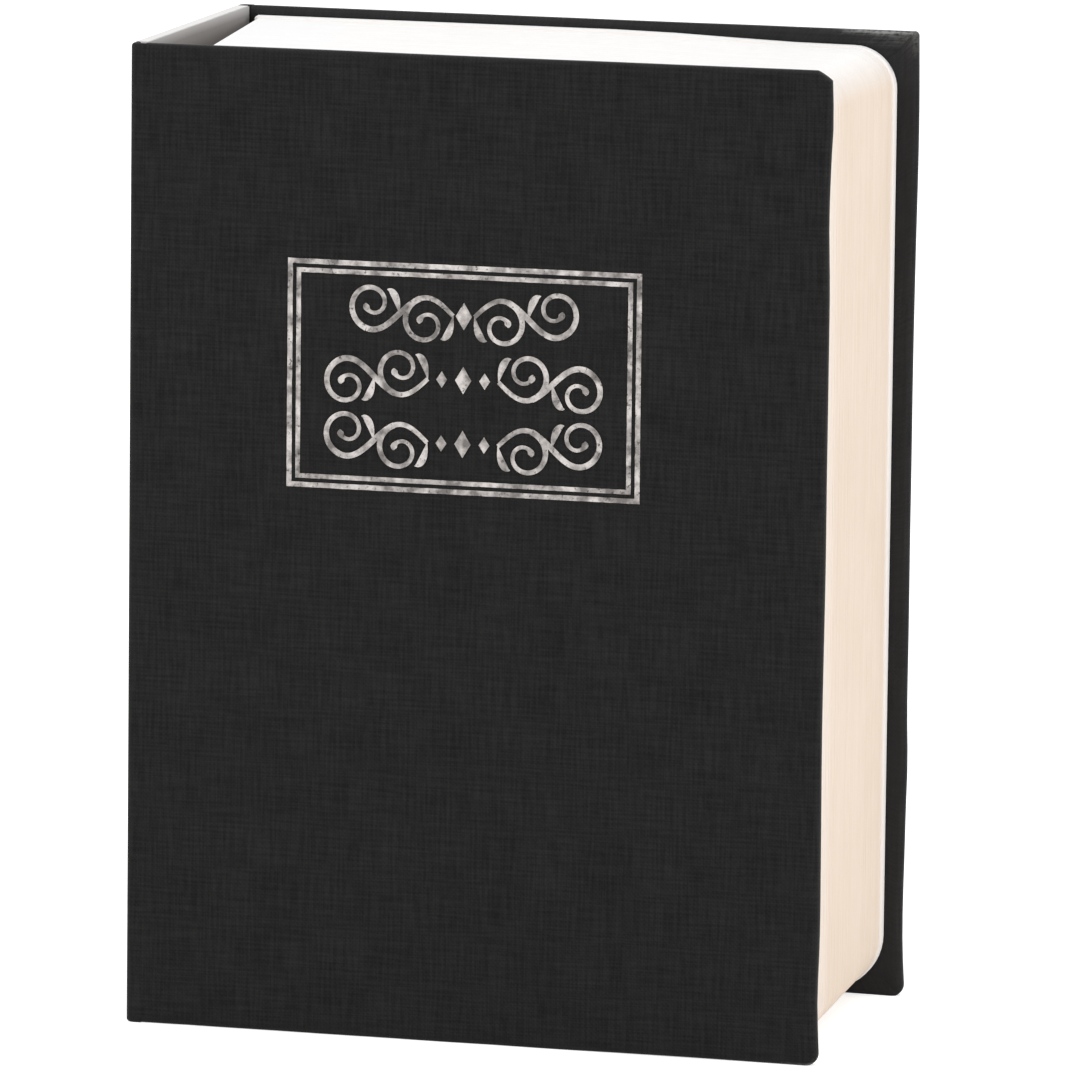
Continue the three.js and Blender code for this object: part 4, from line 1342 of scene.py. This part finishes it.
def hinge_leaf(name, node, side, first, count):
    """side is -1 for the tray's leaf and 1 for the lid's. The roll's outline turns with it by half a turn."""
    low, high = limits(node)
    near = hinge_across + side * (knuckle_radius + leaf_side_gap)
    far = low.x if side < 0 else high.x
    shift = 0.25
    thick = 0.8
    one, two = hinge_depth - side * shift, hinge_depth - side * (shift + thick)
    strip = softened([(near, one), (near, two), (far, two), (far, one)], 0.2, closed=True)
    bare = plate(name, strip, low.z, high.z, black_steel, 0.2, upright=True)

    # The roll, drawn for the tray's leaf: along the strip, clockwise round the pin and back inside.
    outer_start = math.pi - math.asin((shift + thick) / knuckle_radius)
    outer_end = -math.pi + roll_slit
    inner_start = math.pi - math.asin(shift / bore_radius)
    turns = 22
    root = -knuckle_radius - leaf_side_gap - 0.3
    roll = [(root, shift), (root, shift + thick)]
    for radius, start, end in ((knuckle_radius, outer_start, outer_end), (bore_radius, outer_end, inner_start)):
        angles = [start + (end - start) * k / turns for k in range(turns + 1)]
        roll += [(radius * math.cos(angle), radius * math.sin(angle)) for angle in angles]
    roll = [(hinge_across - side * a, hinge_depth - side * b) for a, b in reversed(roll)]
    start = hinge_low + first * knuckle_pitch + knuckle_gap / 2
    end = start + knuckle_pitch - knuckle_gap
    knuckle = plate("knuckle", roll, start, end, black_steel, 0.12, upright=True)

    work = bmesh.new()
    work.from_mesh(bare.data)
    mark = work.faces.layers.bool.new("knuckle")
    plain = len(work.faces)
    work.from_mesh(knuckle.data)
    work.faces.ensure_lookup_table()
    for face in work.faces[plain:]:
        face[mark] = True
    work.to_mesh(bare.data)
    work.free()
    bpy.data.objects.remove(knuckle)
    run_nodes(bare, repeated_knuckles(black_steel), Count=count, Step=2 * knuckle_pitch * MM)
    bare.data.shade_smooth()
    bare.data.set_sharp_from_angle(angle=sharp_angle)
    return bare


def pin_profile():
    """Half the pin's outline from the lower head's crown to the upper one: (radius, z)."""
    shank, dome = 0.8, 0.45
    neck = hinge_low - 0.3
    low = [(0, pin_low.z), (knuckle_radius - dome, pin_low.z), (knuckle_radius, neck), (shank, neck)]
    high = [(radius, hinge_low + hinge_high - z) for radius, z in reversed(low)]
    return softened(low + high, 0.25)


def headed_pin(steps=32):
    """Spins the pin's outline round the hinge's upright axis."""
    angles = [2 * math.pi * k / steps for k in range(steps)]
    rings = []
    for radius, z in pin_profile():
        spots = [(radius * math.cos(angle), radius * math.sin(angle)) for angle in angles]
        rings.append([(hinge_across + across, hinge_depth + deep, z) for across, deep in spots])
    return skinned("headed_pin", rings, drawn_plate)


tray_leaf = hinge_leaf("tray_leaf", "tray_hinge_leaf", -1, 0, (knuckle_count + 1) // 2)
lid_leaf = hinge_leaf("lid_leaf", "lid_hinge_leaf", 1, 1, knuckle_count // 2)
pin = headed_pin()
place_on(tray_leaf, "safe", "black_steel", "tray_hinge_leaf")
place_on(lid_leaf, "lid", "black_steel", "lid_hinge_leaf")
place_on(pin, "safe", "plated_steel", "hinge_pin")
print("hinge:", knuckle_count, "knuckles at", round(knuckle_pitch, 2), "mm")

# %% [markdown]
# ## Lock
# A cam lock is nearly all turned work. The housing has a bright face, a threaded barrel with two flats that
# stop it turning in the lid, and a notch that limits the turn. The thread is a real helix: its radius
# changes with both the angle and the depth.

# %% Lock sizes and tools
bezel_radius = (housing_high.x - housing_low.x) / 2
bezel_front = housing_low.y
plug_low, plug_high = limits("lock_plug")
nut_low, nut_high = limits("lock_nut")
washer_low, washer_high = limits("lock_stop_washer")
cam_low, cam_high = limits("lock_cam")
cap_low, cap_high = limits("cam_washer")
screw_low, screw_high = limits("cam_screw")
nose_radius = 3.3
plug_radius = 4.2
running_gap = 0.3
thread_pitch_steel = 1.0
thread_depth = 0.28
face_lip = 1.0
notch_depth = 1.0
tail_half = 2.3
square_half = 2.6
keyway_half, keyway_reach, keyway_depth = 0.8, 2.8, 9.6
wafer_count = 4
cross_reach, cross_half, cross_depth = 1.5, 0.34, 0.8
strike_low, strike_high = limits("lock_strike")
strike_thick = 1.5
strike_bend = 2.0


def threaded(radius, angle, y):
    """The barrel's thread between its flats. The crest keeps the full radius."""
    if abs(radius - barrel_radius) > 0.01:
        return radius
    share = (y / thread_pitch_steel - angle / (2 * math.pi)) % 1.0
    ends = ease(y, pan_floor + 0.2, pan_floor + 1.0) * ease(housing_high.y - y, 0.2, 1.0)
    groove = thread_depth * ends * max(0.0, 1 - abs(share - 0.5) / 0.42)
    return between_flats(radius - groove, angle)


def lock_arc(radius, start, end, steps, centre_up=lock_up):
    """Points (x, z) on a circle round the lock's axis, or round a place straight above or below it."""
    return [(lock_across + a, centre_up + b) for a, b in arc(radius, start, end, steps)]


def square_hole(outline, half):
    """Points of a square hole, one for each point of the outline round it."""
    made = []
    for x, z in outline:
        across, up = x - lock_across, z - lock_up
        scale = half / max(abs(across), abs(up))
        made.append((lock_across + across * scale, lock_up + up * scale))
    return made


def lock_slot(name, half_wide, half_high, front, behind, radius=0.0):
    """A square-cornered or rounded bar along the lock's axis, to cut with or to join on."""
    left, right = lock_across - half_wide, lock_across + half_wide
    low, high = lock_up - half_high, lock_up + half_high
    return plate(name, box_outline(left, right, low, high, radius), front, behind, turned_brass, 0.02)


print("lock face", round(2 * bezel_radius, 1), "mm across")

# %% [markdown]
# The housing and the plug are spun from one line each, and Boolean tools then cut the notch, the keyway and
# the wafers' slots, as a milling cutter does. The nut is a hexagon with its corners chamfered by a cone.

# %% Housing, nut and plug


def lock_housing():
    """The bright face, the threaded barrel and the bore, spun as one closed line, with the stop's notch."""
    bore = plug_radius + running_gap
    nose_bore = nose_radius + running_gap
    back = housing_high.y
    face = softened([
        (nose_bore, bezel_front + face_lip), (nose_bore, bezel_front + 0.25), (nose_bore + 0.5, bezel_front),
        (bezel_radius - 1.0, bezel_front), (bezel_radius - 0.1, bezel_front + 0.7),
        (bezel_radius, pan_floor - 0.05), (bezel_radius - 0.2, pan_floor), (barrel_radius, pan_floor),
    ], 0.2)
    rows = 84
    barrel = [(barrel_radius, pan_floor + (back - pan_floor - 0.1) * k / rows) for k in range(1, rows + 1)]
    rear = [(barrel_radius - 0.15, back), (bore, back), (bore, bezel_front + face_lip)]
    housing = turned("lock_body", face + barrel + rear, turned_plate, closed=True, shape=threaded)
    notch = lock_arc(bezel_radius, 65, 205, 24) + [(lock_across, lock_up)]
    return cut(housing, plate("notch", notch, back - notch_depth, back + 1, turned_plate, 0.02))


def lock_nut():
    """A hexagon whose corners are cut back by a cone in front and behind."""
    apothem = (nut_high.x - nut_low.x) / 2
    middle, half = (nut_low.y + nut_high.y) / 2, (nut_high.y - nut_low.y) / 2
    cone_slope = 0.6

    def hexagon(radius, angle, y):
        if radius < apothem:
            return radius
        off_flat = (angle + math.pi / 6) % (math.pi / 3) - math.pi / 6
        inside = half - abs(y - middle)
        return min(apothem / math.cos(off_flat), apothem + 0.25 + inside / cone_slope)

    hole, rounding = barrel_radius + running_gap, 0.35
    levels = [0, 0.12, 0.25, 0.4, 0.6]
    line = [(hole + rounding, nut_low.y)] + [(apothem + 1, nut_low.y + level) for level in levels]
    line += [(apothem + 1, nut_high.y - level) for level in reversed(levels)]
    line += [(hole + rounding, nut_high.y), (hole, nut_high.y - rounding), (hole, nut_low.y + rounding)]
    return turned("hex_nut", line, drawn_plate, closed=True, shape=hexagon)


def lock_plug():
    """The nose in front, the wider core behind it, a square tail, the keyway and a slot for each wafer."""
    front, shoulder, back = plug_low.y, bezel_front + face_lip + running_gap, washer_low.y
    body = turned("keyed_plug", softened([
        (0, front), (nose_radius - 0.25, front), (nose_radius, front + 0.25), (nose_radius, shoulder),
        (plug_radius, shoulder), (plug_radius, back), (0, back),
    ], 0.1), turned_brass)
    cut(body, lock_slot("tail", tail_half, tail_half, back - 0.3, plug_high.y, 0.35), "UNION")
    cut(body, lock_slot("keyway", keyway_half, keyway_reach, front - 1, front + keyway_depth, 0.25))
    for number in range(1, wafer_count + 1):
        low, high = limits(f"lock_wafer_{number}")
        cut(body, lock_slot("slot", 2.8, plug_radius + 2, low.y - running_gap, high.y + running_gap))
    return body


place_on(lock_housing(), "lid", "plated_steel", "lock_housing")
place_on(lock_nut(), "lid", "plated_steel", "lock_nut")
plug = place_on(lock_plug(), "lock", "lock_brass", "lock_plug")
print("plug:", len(plug.data.polygons), "faces")

# %% [markdown]
# Behind the plug a stop washer, the cam, a sprung cap and a screw sit in a row. The washer and the cam have
# square holes that grip the plug's tail. The strike on the tray is one bent strip, behind which the cam turns.

# %% Cam, washers, screw and strike


def cam_screw():
    """A screw with a domed head, into which a cross is pressed."""
    shank, rim = 1.2, 0.45
    head = (screw_high.x - screw_low.x) / 2
    neck = cap_high.y
    line = [(0, screw_low.y), (shank - 0.3, screw_low.y), (shank, screw_low.y + 0.4), (shank, neck)]
    line += [(head, neck), (head, neck + rim)]
    for cos, sin in arc(1, 0, 90, 8):
        line.append((head * cos, neck + rim + (screw_high.y - neck - rim) * sin))
    screw = turned("pan_head_screw", line, turned_plate)
    for half_wide, half_high in ((cross_reach, cross_half), (cross_half, cross_reach)):
        recess = lock_slot("recess", half_wide, half_high, screw_high.y - cross_depth, screw_high.y + 1, 0.12)
        cut(screw, recess)
    return screw


def cam_outline():
    """A round hub and a narrower round tip below it, joined by straight sides."""
    hub, tip = 6.0, 4.5
    line = lock_arc(hub, 0, 180, 30) + lock_arc(tip, 180, 360, 24, cam_low.z + tip)
    return softened(line, 0.3, closed=True, steps=1)


def on_tail(name, outline, low, high, material, edge):
    """A plate with the square hole that sits on the plug's tail."""
    return plate(name, outline, low.y, high.y, material, edge, square_hole(outline, square_half))


def bent_strike():
    """The strip that the cam turns behind: two flat arms and a round bend."""
    right, behind = strike_high.x, strike_high.y
    centre_x, centre_y = right - strike_bend, behind - strike_bend
    outer = [(centre_x + a, centre_y + b) for a, b in arc(strike_bend, 0, 90, 6)]
    inner = [(centre_x + a, centre_y + b) for a, b in arc(strike_bend - strike_thick, 90, 0, 4)]
    line = [(right, strike_low.y)] + outer + [(strike_low.x, behind), (strike_low.x, behind - strike_thick)]
    line += inner + [(right - strike_thick, strike_low.y)]
    return plate("bent_strike", line, strike_low.z, strike_high.z, drawn_plate, 0.25, upright=True)


stop_line = lock_arc(plug_radius, 110, 430, 48) + lock_arc(barrel_radius, 70, 110, 10)
cap_hole = 1.5
cap_radius = (cap_high.x - cap_low.x) / 2
cap_line = [(cap_hole, cap_low.y), (cap_radius, cap_low.y), (cap_radius, cap_high.y), (cap_hole, cap_high.y)]
cap_line = softened(cap_line, 0.12, closed=True)
stop_washer = on_tail("stop_plate", stop_line, washer_low, washer_high, turned_plate, 0.12)
place_on(stop_washer, "lock", "plated_steel", "lock_stop_washer")
cam = on_tail("cam_arm", cam_outline(), cam_low, cam_high, drawn_plate, 0.25)
place_on(cam, "lock", "plated_steel", "lock_cam")
place_on(turned("spring_cap", cap_line, turned_plate, closed=True), "lock", "plated_steel", "cam_washer")
place_on(cam_screw(), "lock", "plated_steel", "cam_screw")
place_on(bent_strike(), "safe", "plated_steel", "lock_strike")

# %% [markdown]
# ## Stamped foil
# A hot die presses metal film on to the cloth. The double rule follows the photograph. Where the real book
# has words, this one has an ornament that belongs to no maker: three rows of a scrolling vine. The rules
# come first. Their edges wander a little, as foil does on a weave, and they lie on the cloth's slight swell.

# %% Title rules
foil_gap = 0.05
foil_thick = 0.06
rule_step = 1.1
rule_wander = 0.045
title_low, title_high = limits("title_rule_outer")
inner_low, inner_high = limits("title_rule_inner")
outer_width = 0.93
inner_width = 0.85
# On the photographed book the title sits a little nearer the fore-edge and is a little wider.
nudge_left, nudge_right, nudge_down = 0.4, 0.7, 0.15
for low, high in ((title_low, title_high), (inner_low, inner_high)):
    low.x, high.x, low.z = low.x + nudge_left, high.x + nudge_right, low.z - nudge_down
foil_back = book_front - foil_gap


def laid_on_cloth(piece):
    """Moves foil on to the cloth's slight swell."""
    for vertex in piece.data.vertices:
        vertex.co.y -= ripple(vertex.co.x / MM, vertex.co.z / MM, -3.7) * MM
    return piece


def wander(x, z, seed):
    """A small shift of a point. It comes from plain noise, because noise_vector differs from run to run."""
    across = noise.noise((x * 0.9, seed, z * 0.9))
    up = noise.noise((x * 0.9, seed + 30, z * 0.9))
    return rule_wander * across, rule_wander * up


def ruled_rectangle(low, high, seed):
    """A rectangle drawn with many points that wander a little, as foil does on a weave."""
    corners = box_outline(low.x, high.x, low.z, high.z)
    made = []
    for (x, z), (end_x, end_z) in zip(corners, corners[1:] + corners[:1]):
        steps = round(math.dist((x, z), (end_x, end_z)) / rule_step)
        for k in range(steps):
            place_x, place_z = x + (end_x - x) * k / steps, z + (end_z - z) * k / steps
            across, up = wander(place_x, place_z, seed)
            made.append((place_x + across, place_z + up))
    return made


def title_rule(name, low, high, width, seed):
    outline = ruled_rectangle(low, high, seed)
    middle_x, middle_z = (low.x + high.x) / 2, (low.z + high.z) / 2
    half_x, half_z = (high.x - low.x) / 2, (high.z - low.z) / 2
    scale_x, scale_z = (half_x - width) / half_x, (half_z - width) / half_z
    hole = []
    for x, z in outline:
        across, up = wander(x, z, seed + 8)
        hole.append((middle_x + (x - middle_x) * scale_x + across, middle_z + (z - middle_z) * scale_z + up))
    return laid_on_cloth(plate(name, outline, foil_back - foil_thick, foil_back, foil, 0.02, hole))


outer_rule = title_rule("foil_outer_rule", title_low, title_high, outer_width, 2.0)
inner_rule = title_rule("foil_inner_rule", inner_low, inner_high, inner_width, 5.0)
place_on(outer_rule, "cover", "silver_foil", "title_rule_outer")
place_on(inner_rule, "cover", "silver_foil", "title_rule_inner")
print("rules are", outer_width, "and", inner_width, "mm wide")

# %% [markdown]
# A vine is a wave. Under each crest a tendril leaves the stem and winds in with ever tighter curvature, like
# a clothoid, the curve that a pen makes when it turns evenly. The lines are drawn as bare edges, and a node
# tree gives them the die's width. Each line lies a hair above the last one, so that no two faces coincide.

# %% Vine ornament
stem_stroke, tendril_stroke, leaf_stroke = 1.05, 1.1, 1.35
stem_steps, tendril_steps, vine_leaf_steps = 26, 70, 16
arch_width = 10.0
arch_height = 3.1
tendril_length = 20.4
winding = 0.76
leaf_reach = 2.3
leaf_rise = 4.3
stroke_rise = 0.004
branch_at = 0.62
tip_at, tip_reach = 0.965, 0.03
# Each row: distance above the panel's middle, half width, arches and which way it starts.
vine_rows = ((11.6, 22.0, 2, 1), (0, 26.6, 2, -1), (-11.6, 26.6, 2, 1))


def stem_line(start, arches):
    """The wave that runs through a row, up to where its last tendril leaves it."""
    stem = []
    for k in range(int((arches - 1 + branch_at) * stem_steps) + 1):
        x = k / stem_steps
        stroke = stem_stroke * (0.75 + 0.25 * min(1, x))
        stem.append((start + x * arch_width, arch_height * math.sin(math.pi * x), stroke))
    return stem


def tendril_line(start, arch):
    """A line that leaves the stem and winds in ever tighter, to a swollen round tip."""
    side = 1 if arch % 2 == 0 else -1
    share = arch + branch_at
    x, z = start + share * arch_width, arch_height * math.sin(math.pi * share)
    heading = math.atan2(arch_height * math.pi / arch_width * math.cos(math.pi * share), 1.0)
    tendril = []
    for k in range(tendril_steps + 1):
        along = k / tendril_steps
        swell = 1.0 + 0.9 * bell(along - tip_at, tip_reach)
        end = math.sqrt(max(0.0, 1 - max(0.0, (along - 0.97) / 0.03) ** 2))
        tendril.append((x, z, tendril_stroke * (1 - 0.42 * along) * swell * max(end, 0.25)))
        bend = winding * (0.30 + 0.12 * along + 0.52 * along ** 3)
        heading -= side * bend * tendril_length / tendril_steps
        x += math.cos(heading) * tendril_length / tendril_steps
        z += math.sin(heading) * tendril_length / tendril_steps
    return tendril


def vine_leaf(start, crossing):
    """A leaf that grows where the stem crosses the row's middle."""
    side = -1 if crossing % 2 == 0 else 1
    leaf = []
    for k in range(vine_leaf_steps + 1):
        along = k / vine_leaf_steps
        x = start + crossing * arch_width + leaf_reach * (0.55 * along + 0.45 * along ** 2)
        z = side * leaf_rise * (1 - (1 - along) ** 2)
        leaf.append((x, z, leaf_stroke * max(0.12, math.sin(math.pi * along) ** 0.8)))
    return leaf


def vine_lines(half_width, arches, flip):
    """The right half of a row: a list of lines, each a list of (x, z, stroke width)."""
    start = half_width - arches * arch_width
    lines = [stem_line(start, arches)]
    lines += [tendril_line(start, arch) for arch in range(arches)]
    lines += [vine_leaf(start, crossing) for crossing in range(arches)]
    return [[(x, flip * z, stroke) for x, z, stroke in line] for line in lines]


def lozenge_line(x, wide, high, steps=8):
    """A short line, wide in the middle and pointed at both ends."""
    shares = [k / steps for k in range(steps + 1)]
    return [(x - wide / 2 + wide * share, 0, max(0.05, high * (1 - abs(2 * share - 1)))) for share in shares]


def ornament_lines():
    middle_x, middle_z = (title_low.x + title_high.x) / 2, (title_low.z + title_high.z) / 2
    lines = []
    for rise, half_width, arches, flip in vine_rows:
        row = [lozenge_line(0, 3.0, 5.0)]
        if half_width - arches * arch_width > 4:
            row += [lozenge_line(4.0, 2.0, 3.0), lozenge_line(-4.0, 2.0, 3.0)]
        for line in vine_lines(half_width, arches, flip):
            row += [line, [(-x, z, stroke) for x, z, stroke in line]]
        lines += [[(middle_x + x, middle_z + rise + z, stroke) for x, z, stroke in line] for line in row]
    return lines


def inked_lines(material):
    """Gives drawn lines a width and a thickness. The stroke attribute holds the width at each point."""
    tree, given = new_tree("inked_lines", Thickness="Float")
    stroke, base = named(tree, "stroke", "FLOAT"), named(tree, "base", "FLOAT")
    line = add_node(tree, "GeometryNodeMeshToCurve", {"Mesh": given["Geometry"]}).outputs[0]
    level = add_node(tree, "GeometryNodeSetCurveNormal", {"Curve": line}, mode="Z_UP").outputs[0]
    section = add_node(tree, "GeometryNodeCurvePrimitiveQuadrilateral", {"Width": 1.0, "Height": 0.1})
    sweep = {"Curve": level, "Profile Curve": section.outputs[0], "Scale": stroke, "Fill Caps": True}
    swept = add_node(tree, "GeometryNodeCurveToMesh", sweep).outputs[0]
    place = add_node(tree, "GeometryNodeInputPosition").outputs[0]
    parts = add_node(tree, "ShaderNodeSeparateXYZ", {0: place}).outputs
    upper = calc("GREATER_THAN", calc("SUBTRACT", parts["Z"], base), 0.0)
    height = calc("MULTIPLY_ADD", upper, given["Thickness"], base)
    flat = add_node(tree, "ShaderNodeCombineXYZ", {"X": parts["X"], "Y": parts["Y"], "Z": height}).outputs[0]
    pressed = add_node(tree, "GeometryNodeSetPosition", {"Geometry": swept, "Position": flat}).outputs[0]
    return close_tree(tree, pressed, material)


def title_ornament():
    """Draws the rows as edges, lets the node tree give them width, and stands them up on the cover."""
    mesh = bpy.data.meshes.new("title_ornament")
    points, edges, strokes, bases = [], [], [], []
    for number, line in enumerate(ornament_lines()):
        first = len(points)
        base = number * stroke_rise * MM
        points += [(x * MM, z * MM, base) for x, z, _ in line]
        edges += [(k, k + 1) for k in range(first, len(points) - 1)]
        strokes += [stroke * MM for *_, stroke in line]
        bases += [base] * len(line)
    mesh.from_pydata(points, edges, [])
    for key, values in (("stroke", strokes), ("base", bases)):
        mesh.attributes.new(key, "FLOAT", "POINT").data.foreach_set("value", values)
    piece = add_object("title_ornament", mesh)
    run_nodes(piece, inked_lines(foil), Thickness=foil_thick * MM)
    stand = Matrix(((1, 0, 0, 0), (0, 0, -1, foil_back * MM), (0, 1, 0, 0), (0, 0, 0, 1)))
    piece.data.transform(stand)
    piece.data.set_sharp_from_angle(angle=sharp_angle)
    return laid_on_cloth(piece)


ornament = title_ornament()
place_on(ornament, "cover", "silver_foil")
print("ornament:", len(ornament.data.polygons), "faces")

# %% [markdown]
# ## Materials for the solids
# The four wafers in the lock's core need no dressing, so they stay as the solids that the frame gives. Every
# solid takes the material of its slot here, which gives the wafers the brass of the plug round them.

# %% Carry-over materials
finish_of = {
    "book_cloth": black_cloth, "card": grey_card, "pale_card": pale_card, "lining_paper": lining_paper,
    "silver_foil": foil, "page_cream": cream_pages, "black_steel": black_steel,
    "plated_steel": drawn_plate, "lock_brass": turned_brass,
}
for row in frame["record"]["subparts"]:
    solid = frame["nodes"][row["node"]]
    solid.data.materials.clear()
    solid.data.materials.append(finish_of[row["material_slot"]])
